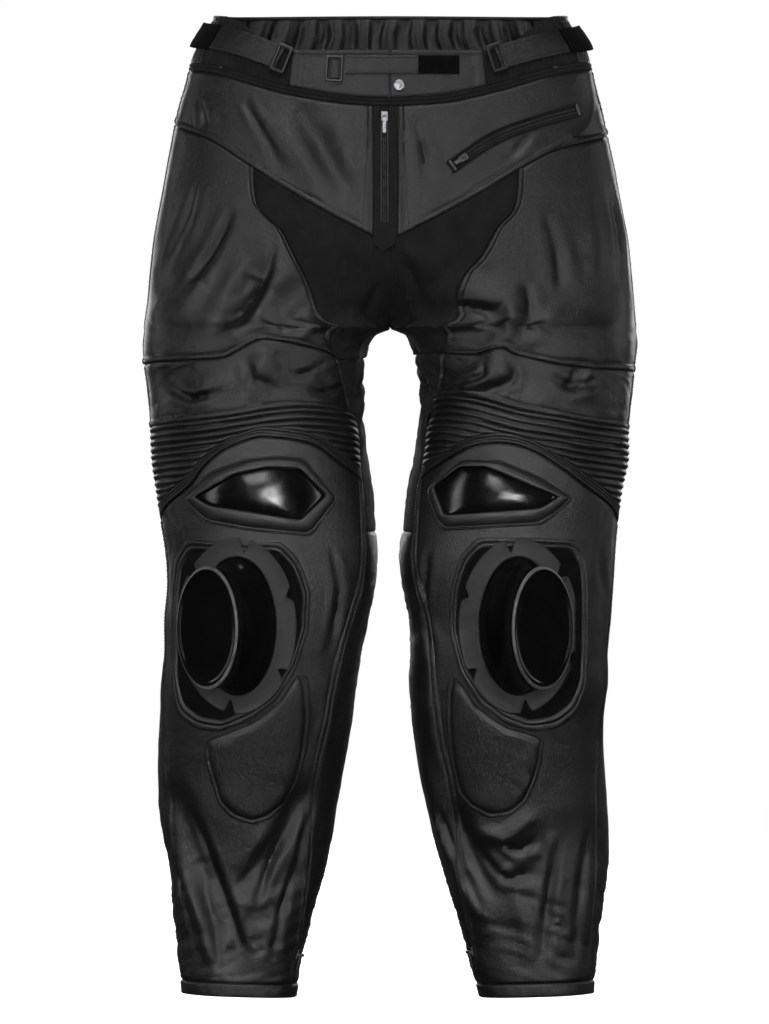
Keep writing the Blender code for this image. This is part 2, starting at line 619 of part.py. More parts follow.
def across_strip(name, xs, zs, material, lift, wall, raised=None, edges=""):
    """A piece across the middle of the front: xs run from left to right, zs from bottom to top."""
    sides = np.array([[-1 if x < 0 else 1 for x in xs]] * len(zs))
    grid = np.array([[(turn_at(-1 if x < 0 else 1, abs(x), z), z) for x in xs] for z in zs])
    return ring_panel(name, sides, grid, material, edges=edges, lift=lift, wall=wall, raised=raised)


def frame_at(side, u, z, toward=(0.0, -1.0)):
    """Point of the surface with its axes: across, along and outward; toward is a direction in (u * 600, z)."""
    du, dz = toward
    point, normal = leg(side, np.array(u), np.array(z))
    ahead, _ = leg(side, np.array(u + du * 4 / 600), np.array(z + dz * 4))
    along = unit(ahead - point)
    along = unit(along - normal * np.dot(along, normal))
    across = np.cross(along, normal)
    return point, across, along, normal


def placed(thing, point, across, along, normal):
    """Turn and place an object modelled with X across, Y along and Z outward."""
    thing.matrix_world = Matrix.Translation(Vector(point) * MM) @ Matrix(
        [(across[k], along[k], normal[k]) for k in range(3)]).to_4x4()
    return thing


def buckle(name, side, x, z, lift, outer=(16.0, 29.0), bar=3.0, lean=0.0, material="plastic"):
    """Rectangular ring, from a frame of bars with rounded corners."""
    bm = bmesh.new()
    wide, high = outer
    bmesh.ops.create_grid(bm, x_segments=3, y_segments=3, size=1)
    xs = (-wide / 2, -wide / 2 + bar, wide / 2 - bar, wide / 2)
    ys = (-high / 2, -high / 2 + bar, high / 2 - bar, high / 2)
    for vert in bm.verts:
        column, row = int(round((vert.co.x + 1) * 1.5)), int(round((vert.co.y + 1) * 1.5))
        vert.co = Vector((xs[column], ys[row], 0))
    centre = [face for face in bm.faces if face.calc_center_median().length < 0.1]
    bmesh.ops.delete(bm, geom=centre, context="FACES")
    extruded = bmesh.ops.extrude_face_region(bm, geom=bm.faces[:])["geom"]
    bmesh.ops.translate(bm, vec=(0, 0, 2.6), verts=[item for item in extruded if isinstance(item, bmesh.types.BMVert)])
    corners = [edge for edge in bm.edges if abs(edge.verts[0].co.z - edge.verts[1].co.z) > 1
               and abs(edge.verts[0].co.x) > wide / 2 - 0.1 and abs(edge.verts[0].co.y) > high / 2 - 0.1]
    bmesh.ops.bevel(bm, geom=corners, offset=2.0, segments=2, affect="EDGES", profile=0.5)
    thing = new_object(name, bm, material)
    point, across, along, normal = frame_at(side, turn_at(side, x, z), z)
    turned = along * math.cos(lean) + across * math.sin(lean)
    across = np.cross(turned, normal)
    return placed(thing, point + normal * lift, across, turned, normal)


def turned_piece(name, profile, material, segments=20):
    """Solid of revolution about Z from a profile of (radius, height) points that starts and ends on the axis."""
    bm = bmesh.new()
    verts = [bm.verts.new((radius, 0, height)) for radius, height in profile]
    edges = [bm.edges.new(pair) for pair in zip(verts, verts[1:])]
    bmesh.ops.spin(bm, geom=verts + edges, axis=(0, 0, 1), cent=(0, 0, 0), angle=2 * math.pi, steps=segments,
                   use_merge=True)
    bmesh.ops.remove_doubles(bm, verts=bm.verts[:], dist=0.001)
    return new_object(name, bm, material)


STRAPS = {
    # side: (x, z) along the leather, (u, z) of the pile's end, half widths, buckle (x, z), lean
    -1: (((113, 32), (148, 46), (178, 55)), (0.49, 57), (11.5, 12.5), (111, 31), 0.26),
    1: (((111, 32), (148, 43), (178, 51)), (0.49, 54), (11.5, 12.0), (109, 32), -0.20),
}


def straps():
    """Side straps with pile ends and their buckles, and the belt strap that closes the front."""
    for side, word in ((-1, "left"), (1, "right")):
        leather, end, (half, pile_half), (x, z), lean = STRAPS[side]
        path = on_leg(side, leather)
        last = path[-1]
        strip(f"side_strap_{word}", side, path, half, "leather", (1.0, 1.2), 1.5)
        start = (last[0] + 0.007, last[1] + 0.3)
        strip(f"side_strap_pile_{word}", side, (start, ((start[0] + end[0]) / 2, (start[1] + end[1]) / 2), end),
              pile_half, "pile", (0.9, 6.0), 1.5, columns=4)
        buckle(f"side_buckle_{word}", side, x, z, 3.4, lean=lean)
    strap_z = (15, 24, 34)
    across_strip("belt_strap", (-46, -35, -23, -12, 0, 10, 20, 28.7), strap_z, "leather", 1.0, 1.6)
    across_strip("belt_pile", (29, 39, 49, 60, 71), strap_z, "pile", 0.8, 1.4)
    across_strip("belt_keeper", (-62.4, -57, -51.6), (10, 20, 30), "leather", 0.8, 2.0)
    buckle("belt_buckle", -1, 57, 20, 3.4, outer=(18.0, 27.0), bar=2.6)
    cap = turned_piece("snap", ((0, 0), (5.2, 0), (6.2, 0.6), (6.2, 1.6), (5.4, 2.3), (4.2, 2.5), (3.6, 1.9), (0, 1.7)),
                       "steel")
    point, across, along, normal = frame_at(1, turn_at(1, 9.3, 3.1), 3.1)
    placed(cap, point + normal * 0.5, across, along, normal)


def polar_loop(points, centre, count):
    """Points of a closed outline at even angles about its centre."""
    outline = np.array(points, dtype=float) - centre
    found = []
    for k in range(count):
        angle = 2 * math.pi * k / count
        direction = np.array([math.cos(angle), math.sin(angle)])
        best = 0.0
        for first, second in zip(outline, np.roll(outline, -1, axis=0)):
            edge = second - first
            cross = direction[0] * edge[1] - direction[1] * edge[0]
            if abs(cross) < 1e-9:
                continue
            reach = (first[0] * edge[1] - first[1] * edge[0]) / cross
            share = (first[0] * direction[1] - first[1] * direction[0]) / cross
            if reach > 0 and -1e-6 <= share <= 1 + 1e-6:
                best = max(best, reach)
        found.append(np.array(centre) + direction * best)
    return np.array(found)


def oval(centre, half, count, notches=()):
    """Ellipse in the front view; notches are (degrees, half width in degrees, depth)."""
    points = []
    for k in range(count):
        degrees = 360.0 * k / count
        scale = 1.0
        for place, wide, depth in notches:
            away = abs((degrees - place + 180) % 360 - 180)
            scale -= depth * max(0.0, 1 - away / wide)
        angle = math.radians(degrees)
        points.append((centre[0] + half[0] * scale * math.cos(angle), centre[1] + half[1] * scale * math.sin(angle)))
    return np.array(points)


def to_leg(side, loop):
    return np.array([(turn_at(side, x, z), z) for x, z in loop])


def ring_wall(bm, loops, close=False):
    """Quads between loops of points, with the last loop joined to the first, or else both ends capped."""
    rings = [[bm.verts.new(point) for point in loop] for loop in loops]
    pairs = list(zip(rings, rings[1:])) + ([(rings[-1], rings[0])] if close else [])
    for first, second in pairs:
        edges = []
        for ring in (first, second):
            for a, b in zip(ring, ring[1:] + ring[:1]):
                edges.append(bm.edges.get((a, b)) or bm.edges.new((a, b)))
        bmesh.ops.bridge_loops(bm, edges=edges)
    if not close:
        for ring in (rings[0], rings[-1]):
            middle = bm.verts.new(sum((vert.co for vert in ring), Vector()) / len(ring))
            for a, b in zip(ring, ring[1:] + ring[:1]):
                bm.faces.new((a, b, middle))


def collar(name, side, loops, heights, lift, material):
    """Ring that lies on the leg: loops run from its outside to its hole, heights above the lift."""
    turned = [to_leg(side, loop) for loop in loops]
    stack = []
    for loop, height in zip(turned, heights):
        point, normal = leg(side, loop[:, 0], loop[:, 1])
        stack.append(point + normal * (lift + height))
    for loop in (turned[-1], turned[0]):
        point, normal = leg(side, loop[:, 0], loop[:, 1])
        stack.append(point + normal * lift)
    bm = bmesh.new()
    ring_wall(bm, stack, close=True)
    return new_object(name, bm, material)


def mound(name, side, loops, heights, lift, material, centre, peak):
    """Pad that lies on the leg: loops run from its outside in, with a middle point above and below."""
    turned = [to_leg(side, loop) for loop in loops]
    under = [to_leg(side, loop) for loop in loops[::-1]]
    stack = []
    for loop in under:
        point, normal = leg(side, loop[:, 0], loop[:, 1])
        stack.append(point + normal * lift)
    for loop, height in zip(turned, heights):
        point, normal = leg(side, loop[:, 0], loop[:, 1])
        stack.append(point + normal * (lift + height))
    bm = bmesh.new()
    ring_wall(bm, stack)
    bm.verts.ensure_lookup_table()
    middle = to_leg(side, [centre])[0]
    point, normal = leg(side, middle[0], middle[1])
    bm.verts[-1].co = point + normal * (lift + peak)
    bm.verts[-2].co = point + normal * lift
    return new_object(name, bm, material)


def shrink(loop, centre, share):
    return np.array(centre) + (loop - centre) * share


KNEES = {
    -1: SimpleNamespace(
        plate=((54, -422), (81, -460), (145, -454), (192, -445), (211, -420), (184, -393), (144, -379), (113, -377),
               (89, -379)),
        insert=((68, -418), (93, -443), (182, -428), (197, -419), (158, -396), (126, -389), (94, -391)),
        plate_centre=(130, -416),
        base=((111, -465), (93, -484), (82, -515), (84, -556), (97, -597), (117, -628), (142, -647), (175, -661),
              (200, -657), (218, -643), (224, -618), (225, -566), (223, -515), (219, -482), (208, -463), (165, -466)),
        guard=((190, -667), (191, -685), (185, -707), (177, -735), (163, -750), (142, -757), (124, -751),
               (107, -737), (95, -713), (84, -678), (83, -628), (93, -628), (109, -641), (132, -657), (157, -668)),
        guard_centre=(140, -700), ring=(156, -551), face=(188, -110, -553)),
    1: SimpleNamespace(
        plate=((39, -413), (52, -454), (92, -452), (157, -448), (187, -421), (152, -397), (112, -381), (75, -381)),
        insert=((49, -410), (59, -438), (152, -431), (171, -419), (100, -389), (75, -389)),
        plate_centre=(108, -416),
        base=((89, -461), (72, -480), (62, -515), (61, -556), (72, -599), (91, -630), (118, -651), (144, -660),
              (171, -657), (192, -641), (202, -616), (204, -566), (204, -515), (202, -482), (190, -463), (144, -461)),
        guard=((62, -628), (61, -670), (64, -696), (71, -725), (82, -739), (103, -750), (124, -747), (140, -734),
               (150, -712), (156, -690), (158, -668), (144, -668), (118, -659), (97, -645), (78, -630)),
        guard_centre=(110, -700), ring=(131, -551), face=(157, -122, -553)),
}
RING_HALF = (60, 86)
RING_HOLE = (38, 64)
RING_NOTCHES = ((25, 12, 0.10), (78, 10, 0.14), (128, 12, 0.12), (205, 12, 0.12), (262, 10, 0.14), (318, 12, 0.12))
PUCK_BASE = (34, 58)
PUCK_FACE = (43, 63)
PUCK_TURN = math.radians(42)


def knees():
    """Knee plates with their inserts, slider bases, hook rings, sliders and the shin guards."""
    for side, word in ((-1, "left"), (1, "right")):
        knee = KNEES[side]
        centre = np.array(knee.plate_centre, dtype=float)
        outer = polar_loop(knee.plate, centre, 28)
        hole = polar_loop(knee.insert, centre, 28)
        edge = shrink(hole, centre, 1.006)
        loops = [outer, outer * 0.88 + edge * 0.12, outer * 0.45 + edge * 0.55, edge]
        collar(f"knee_plate_{word}", side, loops, (2.5, 6.0, 8.0, 6.5), 1.6, "rubber")
        inner = shrink(hole, centre, 0.994)
        mound(f"knee_insert_{word}", side, [inner, shrink(inner, centre, 0.9), shrink(inner, centre, 0.5)],
              (4.5, 5.6, 6.6), 1.6, "gloss", knee.plate_centre, 7.0)
        middle = np.array(knee.ring, dtype=float)
        base = polar_loop(knee.base, middle, 28)
        mound(f"slider_base_{word}", side,
              [base, shrink(base, middle, 0.93), shrink(base, middle, 0.72), shrink(base, middle, 0.48),
               shrink(base, middle, 0.24)], (1.4, 2.0, 1.6, 1.6, 1.6), 1.5, "leather", knee.ring, 1.6)
        notched = oval(knee.ring, RING_HALF, 36, RING_NOTCHES)
        hole = oval(knee.ring, RING_HOLE, 36)
        notched[:, 0] = np.minimum(notched[:, 0], knee.ring[0] + 57)
        collar(f"hook_ring_{word}", side, [notched, notched * 0.9 + hole * 0.1, hole], (2.0, 3.0, 2.4), 4.3, "rubber")
        puck(f"slider_{word}", side, knee)
        guard_middle = np.array(knee.guard_centre, dtype=float)
        guard = polar_loop(knee.guard, guard_middle, 26)
        mound(f"shin_guard_{word}", side,
              [guard, shrink(guard, guard_middle, 0.88), shrink(guard, guard_middle, 0.5)], (1.4, 4.0, 4.5), 1.45,
              "leather", knee.guard_centre, 4.5)


def puck(name, side, knee):
    """Knee slider: its foot follows the leg and its flat oval face is turned outwards."""
    count = 24
    stack = []
    for share, height in ((0.35, 4.1), (0.7, 4.1), (1.0, 4.1), (1.0, 8.4)):
        foot = to_leg(side, shrink(oval(knee.ring, PUCK_BASE, count), np.array(knee.ring), share))
        point, normal = leg(side, foot[:, 0], foot[:, 1])
        stack.append(point + normal * height)
    outward = np.array([side * math.sin(PUCK_TURN), -math.cos(PUCK_TURN), 0.0])
    across = np.array([side * math.cos(PUCK_TURN), math.sin(PUCK_TURN), 0.0])
    centre = np.array([side * knee.face[0], knee.face[1], knee.face[2]], dtype=float)
    for share, drop in ((1.0, 5.0), (1.0, 1.2), (0.97, 0.0)):
        ring = []
        for k in range(count):
            angle = 2 * math.pi * k / count
            ring.append(centre - outward * drop + across * PUCK_FACE[0] * share * math.cos(angle)
                        + np.array([0, 0, 1.0]) * PUCK_FACE[1] * share * math.sin(angle))
        stack.append(np.array(ring))
    bm = bmesh.new()
    ring_wall(bm, stack)
    bm.verts.ensure_lookup_table()
    middle = to_leg(side, [knee.ring])[0]
    point, normal = leg(side, middle[0], middle[1])
    bm.verts[-2].co = point + normal * 4.1
    return new_object(name, bm, "gloss")


SLIDER = SimpleNamespace(wide=6.4, long=9.0, thick=2.0, ear=1.2, ear_long=3.0, ear_high=3.6, pin=1.0)
PULL = SimpleNamespace(eye=1.6, hole=0.92, wide=3.4, thick=1.2)
PIN_HEIGHT = SLIDER.thick + SLIDER.ear_high / 2


def zip_slider(name, point, across, along, normal):
    """Zip slider: a block with two ears and the bar between them that its pull turns on."""
    bm = bmesh.new()
    bmesh.ops.create_cube(bm, size=1)
    bmesh.ops.scale(bm, vec=(SLIDER.wide, SLIDER.long, SLIDER.thick), verts=bm.verts[:])
    bmesh.ops.translate(bm, vec=(0, 0, SLIDER.thick / 2), verts=bm.verts[:])
    inside = SLIDER.wide / 2 - SLIDER.ear
    for place, normal_axis in (((inside, 0, 0), (1, 0, 0)), ((-inside, 0, 0), (1, 0, 0)),
                               ((0, SLIDER.ear_long / 2, 0), (0, 1, 0)), ((0, -SLIDER.ear_long / 2, 0), (0, 1, 0))):
        bmesh.ops.bisect_plane(bm, geom=bm.verts[:] + bm.edges[:] + bm.faces[:], plane_co=place,
                               plane_no=normal_axis)
    ears = [face for face in bm.faces if face.normal.z > 0.9 and abs(face.calc_center_median().x) > inside
            and abs(face.calc_center_median().y) < SLIDER.ear_long / 2]
    lifted = bmesh.ops.extrude_face_region(bm, geom=ears)["geom"]
    bmesh.ops.translate(bm, vec=(0, 0, SLIDER.ear_high), verts=[v for v in lifted if isinstance(v, bmesh.types.BMVert)])
    bmesh.ops.delete(bm, geom=[face for face in ears if face.is_valid], context="FACES_ONLY")
    bm.normal_update()
    facing = [face for face in bm.faces if abs(abs(face.calc_center_median().x) - inside) < 0.01
              and face.calc_center_median().z > SLIDER.thick + 0.5]
    bmesh.ops.inset_individual(bm, faces=facing, thickness=1.0)
    bar = [face for face in facing if face.is_valid]
    for face in bar:
        middle = face.calc_center_median()
        for vert in face.verts:
            vert.co.y = math.copysign(SLIDER.pin / 2, vert.co.y)
            vert.co.z = middle.z + math.copysign(SLIDER.pin / 2, vert.co.z - middle.z)
    edges = [edge for face in bar for edge in face.edges]
    bmesh.ops.delete(bm, geom=bar, context="FACES_ONLY")
    bmesh.ops.bridge_loops(bm, edges=edges)
    return placed(new_object(name, bm, "steel"), point, across, along, normal)


def zip_pull(name, point, across, along, normal, length):
    """Pull tab: an eye round the slider's bar with a flat tail; its origin is on the bar's axis."""
    steps = 16
    half = math.asin(PULL.thick / 2 / PULL.eye)
    outline = []
    for k in range(steps + 1):
        angle = half + (2 * math.pi - 2 * half) * k / steps
        outline.append((PULL.eye * math.cos(angle), PULL.eye * math.sin(angle)))
    outline += [(length - 0.6, -PULL.thick / 2), (length, -PULL.thick / 4), (length, PULL.thick / 4),
                (length - 0.6, PULL.thick / 2)]
    hole = [(PULL.hole * math.cos(2 * math.pi * k / 12), PULL.hole * math.sin(2 * math.pi * k / 12))
            for k in range(12)]
    curve = bpy.data.curves.new(name, "CURVE")
    curve.dimensions = "2D"
    curve.fill_mode = "BOTH"
    curve.extrude = PULL.wide / 2 * MM
    for loop in (outline, hole):
        line = curve.splines.new("POLY")
        line.points.add(len(loop) - 1)
        for spot, (x, y) in zip(line.points, loop):
            spot.co = (x * MM, y * MM, 0, 1)
        line.use_cyclic_u = True
    drawn = bpy.data.objects.new(name + "_outline", curve)
    PARTS.objects.link(drawn)
    mesh = bpy.data.meshes.new_from_object(drawn.evaluated_get(bpy.context.evaluated_depsgraph_get()))
    bpy.data.objects.remove(drawn)
    bm = bmesh.new()
    bm.from_mesh(mesh)
    bmesh.ops.remove_doubles(bm, verts=bm.verts[:], dist=1e-6)
    bmesh.ops.scale(bm, vec=(1 / MM, 1 / MM, 1 / MM), verts=bm.verts[:])
    thing = new_object(name, bm, "steel")
    return placed(thing, point + normal * PIN_HEIGHT, along, normal, across)


ZIP_TOP = 1.0      # height of the slider's underside above the tape


def zips():
    """Fly, hip pocket and calf zips: tapes, sliders and pull tabs."""
    heights = np.linspace(-152, -18, ROWS.yoke + 1)
    coil = np.array([0, 0, 1.0, 1.0, 0, 0])
    xs = (-17, -9.4, -8.2, -3.2, -2.0, 8)
    rows = np.stack([coil] * len(heights))
    across_strip("fly_zip", xs, heights, "stretch", 0.0, WALL, raised=rows, edges="btlr")
    fly_end_tab("fly_tab")
    point, across, along, normal = frame_at(-1, turn_at(-1, 5.7, -29), -29)
    seat = point + normal * 1.6
    zip_slider("fly_slider", seat, across, along, normal)
    zip_pull("fly_pull", seat, across, along, normal, 18.0)
    pocket_zip("pocket_zip")
    for side, word, z in ((-1, "left", -893), (1, "right", -890)):
        u = float(np.interp(-z, [-p[1] for p in NETS[side].inner_shin], [p[0] for p in NETS[side].inner_shin]))
        point, across, along, normal = frame_at(side, u, z)
        seat = point + normal * 0.9
        zip_slider(f"calf_slider_{word}", seat, across, along, normal)
        zip_pull(f"calf_pull_{word}", seat, across, along, normal, 16.0)


def fly_end_tab(name):
    """Pointed tab sewn over the lower end of the fly."""
    xs = (-17, -6.5, 5)
    grid = np.array([[(x, -138 if row == 2 else (-151 if row == 1 else (-161 if x != -6.5 else -168))) for x in xs]
                     for row in range(3)], dtype=float)
    turned = np.array([[(turn_at(-1 if x < 0 else 1, abs(x), z), z) for x, z in line] for line in grid])
    sides = np.where(grid[..., 0] < 0, -1, 1)
    ring_panel(name, sides, turned, "stretch", edges="", lift=LIFT + 0.6, wall=1.4)


POCKET = ((61, -82), (103, -53), (144, -36), (195, -20))
POCKET_ROWS = ((-7.0, 0.8), (-6.0, 2.2), (-4.6, 2.2), (-4.2, 0.7), (4.2, 0.7), (4.6, 2.2), (6.0, 2.2), (7.0, 0.8))


def pocket_zip(name):
    """Hip pocket: a welt with two lips and the zip between them, on the right yoke."""
    side = 1
    path = spline([(x, z) for x, z in POCKET], 10)
    along = unit(np.gradient(path, axis=0))
    square = np.stack([-along[:, 1], along[:, 0]], axis=1)
    grid = np.array([[(turn_at(side, *(centre + across * offset)), (centre + across * offset)[1])
                      for centre, across in zip(path, square)] for offset, height in POCKET_ROWS])
    raised = np.array([[height] * len(path) for offset, height in POCKET_ROWS])
    ring_panel(name, np.full(grid.shape[:2], side), grid, "stretch", edges="", lift=LIFT, wall=0.4, raised=raised)
    x, z = 75.2, -72.0
    u = turn_at(side, x, z)
    back = (turn_at(side, x - 8, z - 5.5) - u, -5.5)
    length = math.hypot(back[0] * 600, back[1])
    point, across, down, normal = frame_at(side, u, z, (back[0] * 600 / length, back[1] / length))
    seat = point + normal * (LIFT + 0.4 + 0.7 + 0.6)
    zip_slider("pocket_slider", seat, across, down, normal)
    zip_pull("pocket_pull", seat, across, down, normal, 11.0)


def make_materials():
    made = {}
    for name, (colour, roughness, metallic) in COLOURS.items():
        material = bpy.data.materials.new(name)
        material.use_nodes = True
        shader = material.node_tree.nodes["Principled BSDF"]
        shader.inputs["Base Color"].default_value = (*colour, 1.0)
        shader.inputs["Roughness"].default_value = roughness
        shader.inputs["Metallic"].default_value = metallic
        made[name] = material
    return made


for thing in list(bpy.data.objects):
    bpy.data.objects.remove(thing, do_unlink=True)
PARTS = bpy.data.collections.new("Leather trousers")
bpy.context.scene.collection.children.link(PARTS)
MATERIALS = make_materials()
leg_panels()
waist_pieces()
straps()
knees()
zips()
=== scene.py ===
"""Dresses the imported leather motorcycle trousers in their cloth, trims, materials, light and camera.

Tables are in millimetres, in the frame of the CAD model: +Z is up and the front faces -Y.
Each leg is a surface leg(side, u, z): u runs once round it, from the inside (0) by the front to the outer
side (0.5) and back by the rear (1). Each panel is a fine grid between the same seams as its solid, with its
creases added. side is -1 for the leg on the left of the front view and 1 for the one on the right.
"""
import math
from types import SimpleNamespace

import bmesh
import bpy
import numpy as np
from mathutils import Matrix, Vector


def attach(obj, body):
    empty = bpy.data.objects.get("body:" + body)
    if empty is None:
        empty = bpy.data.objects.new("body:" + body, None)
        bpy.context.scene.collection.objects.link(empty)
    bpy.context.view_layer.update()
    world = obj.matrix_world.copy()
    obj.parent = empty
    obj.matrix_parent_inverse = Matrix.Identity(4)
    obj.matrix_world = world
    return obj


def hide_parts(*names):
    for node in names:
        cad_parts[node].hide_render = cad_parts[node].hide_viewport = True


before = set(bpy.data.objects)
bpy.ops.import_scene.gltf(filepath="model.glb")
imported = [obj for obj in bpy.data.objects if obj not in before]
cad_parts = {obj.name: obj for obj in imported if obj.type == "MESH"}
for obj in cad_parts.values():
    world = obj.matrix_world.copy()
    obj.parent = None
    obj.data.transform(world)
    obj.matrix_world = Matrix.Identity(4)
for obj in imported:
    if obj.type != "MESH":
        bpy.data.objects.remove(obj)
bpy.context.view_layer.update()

MM = 0.001
SIDES = ((-1, "left"), (1, "right"))
WALL = 1.8            # thickness of the cloth
SEAM = 0.17           # how far each panel's edge is drawn in from its seam
LIFT = 0.8            # how far trims stand off the cloth under them
CROTCH = -244.0       # height at which the legs part
RISE = 105.0          # height over which two legs turn into one pair of hips
ROUND = 0.86          # power of the sections: 1 is an ellipse, less is squarer
TABLE_TOP = 90.0      # greatest height in the tables
HEIGHT_STEP = 2.5     # between the sections of the legs
FINE = 8              # seam points for each one of the solid's
FOLD_DEPTH = 1.45     # depth of the main folds against their table
CREASE_DEPTH = 1.7    # depth of the small creases against their tables

# z, outer and inner edge of the left and right leg as seen from the front, middle, half depth front and back
SECTIONS = (
    (90, 178, 0, 180, 0, 2, 74, 72),
    (75, 184, 0, 185, 0, 1, 74, 72),
    (45, 201, 0, 203, 0, 0, 75, 74),
    (31, 207, 0, 208, 0, 0, 75, 75),
    (14, 210, 0, 211, 0, 0, 76, 78),
    (-18, 219, 0, 219, 0, 0, 78, 84),
    (-51, 226, 0, 226, 0, 0, 82, 90),
    (-84, 232, 0, 233, 0, 0, 86, 96),
    (-117, 238, 0, 239, 0, 0, 89, 100),
    (-150, 244, 0, 245, 0, 0, 91, 101),
    (-183, 248, 0, 249, 0, 0, 93, 100),
    (-216, 251, 0, 252, 0, 0, 94, 98),
    (-244, 254, 0, 254, 0, 0, 94, 95),
    (-249, 254, 12, 254, 15, 0, 94, 94),
    (-256, 255, 19, 255, 20, -1, 94, 92),
    (-266, 255, 24, 255, 25, -2, 93, 90),
    (-282, 254, 28, 253, 29, -3, 92, 87),
    (-298, 252, 31, 252, 33, -4, 91, 85),
    (-315, 250, 32, 250, 34, -5, 90, 82),
    (-331, 248, 31, 248, 33, -7, 88, 80),
    (-348, 247, 27, 246, 29, -9, 87, 78),
    (-381, 246, 23, 246, 25, -12, 85, 75),
    (-414, 241, 18, 239, 18, -15, 82, 73),
    (-447, 236, 15, 235, 14, -18, 79, 71),
    (-480, 231, 13, 232, 10, -20, 76, 70),
    (-513, 230, 15, 230, 13, -19, 74, 69),
    (-546, 233, 22, 228, 20, -17, 72, 68),
    (-579, 233, 29, 225, 21, -15, 70, 68),
    (-612, 237, 34, 226, 20, -11, 68, 67),
    (-645, 238, 38, 222, 22, -6, 65, 66),
    (-678, 240, 44, 221, 26, 1, 63, 65),
    (-711, 241, 49, 223, 32, 8, 61, 63),
    (-744, 240, 55, 226, 39, 14, 59, 61),
    (-777, 234, 60, 227, 46, 19, 56, 58),
    (-810, 228, 68, 226, 56, 22, 53, 55),
    (-843, 226, 77, 221, 66, 23, 51, 52),
    (-875, 223, 85, 217, 76, 23, 48, 49),
    (-908, 220, 94, 214, 84, 23, 46, 46),
    (-925, 217, 96, 212, 90, 23, 45, 45),
    (-945, 216, 98, 212, 94, 23, 44, 44),
)

# Main folds, as in the solid: side, path of (x, z) on the front, half width, height (a trough is negative)
FOLDS = (
    (-1, ((95, -20), (70, -60), (43, -107)), 11, -4.0),
    (-1, ((125, -30), (100, -60), (76, -93)), 14, 3.0),
    (-1, ((134, -196), (145, -220), (165, -243)), 15, -6.0),
    (-1, ((107, -185), (130, -220), (165, -258)), 13, 5.0),
    (-1, ((196, -196), (222, -222), (247, -237)), 18, 5.0),
    (-1, ((124, -268), (128, -285), (134, -299)), 17, 5.0),
    (-1, ((200, -290), (235, -305)), 14, -4.0),
    (1, ((67, -206), (124, -216), (122, -247), (108, -263)), 13, 5.0),
    (1, ((108, -270), (110, -288), (82, -304), (74, -311)), 15, 5.0),
    (1, ((185, -292), (200, -300)), 18, -4.0),
    (-1, ((220, -727), (183, -830), (158, -906)), 13, -6.0),
    (-1, ((227, -752), (190, -886)), 11, 4.0),
    (-1, ((87, -721), (120, -780), (154, -820)), 12, -5.0),
    (1, ((33, -690), (60, -780), (99, -865)), 11, 4.0),
    (1, ((62, -742), (85, -790), (103, -826)), 12, -5.0),
    (1, ((93, -766), (118, -771), (146, -750)), 9, 4.0),
)

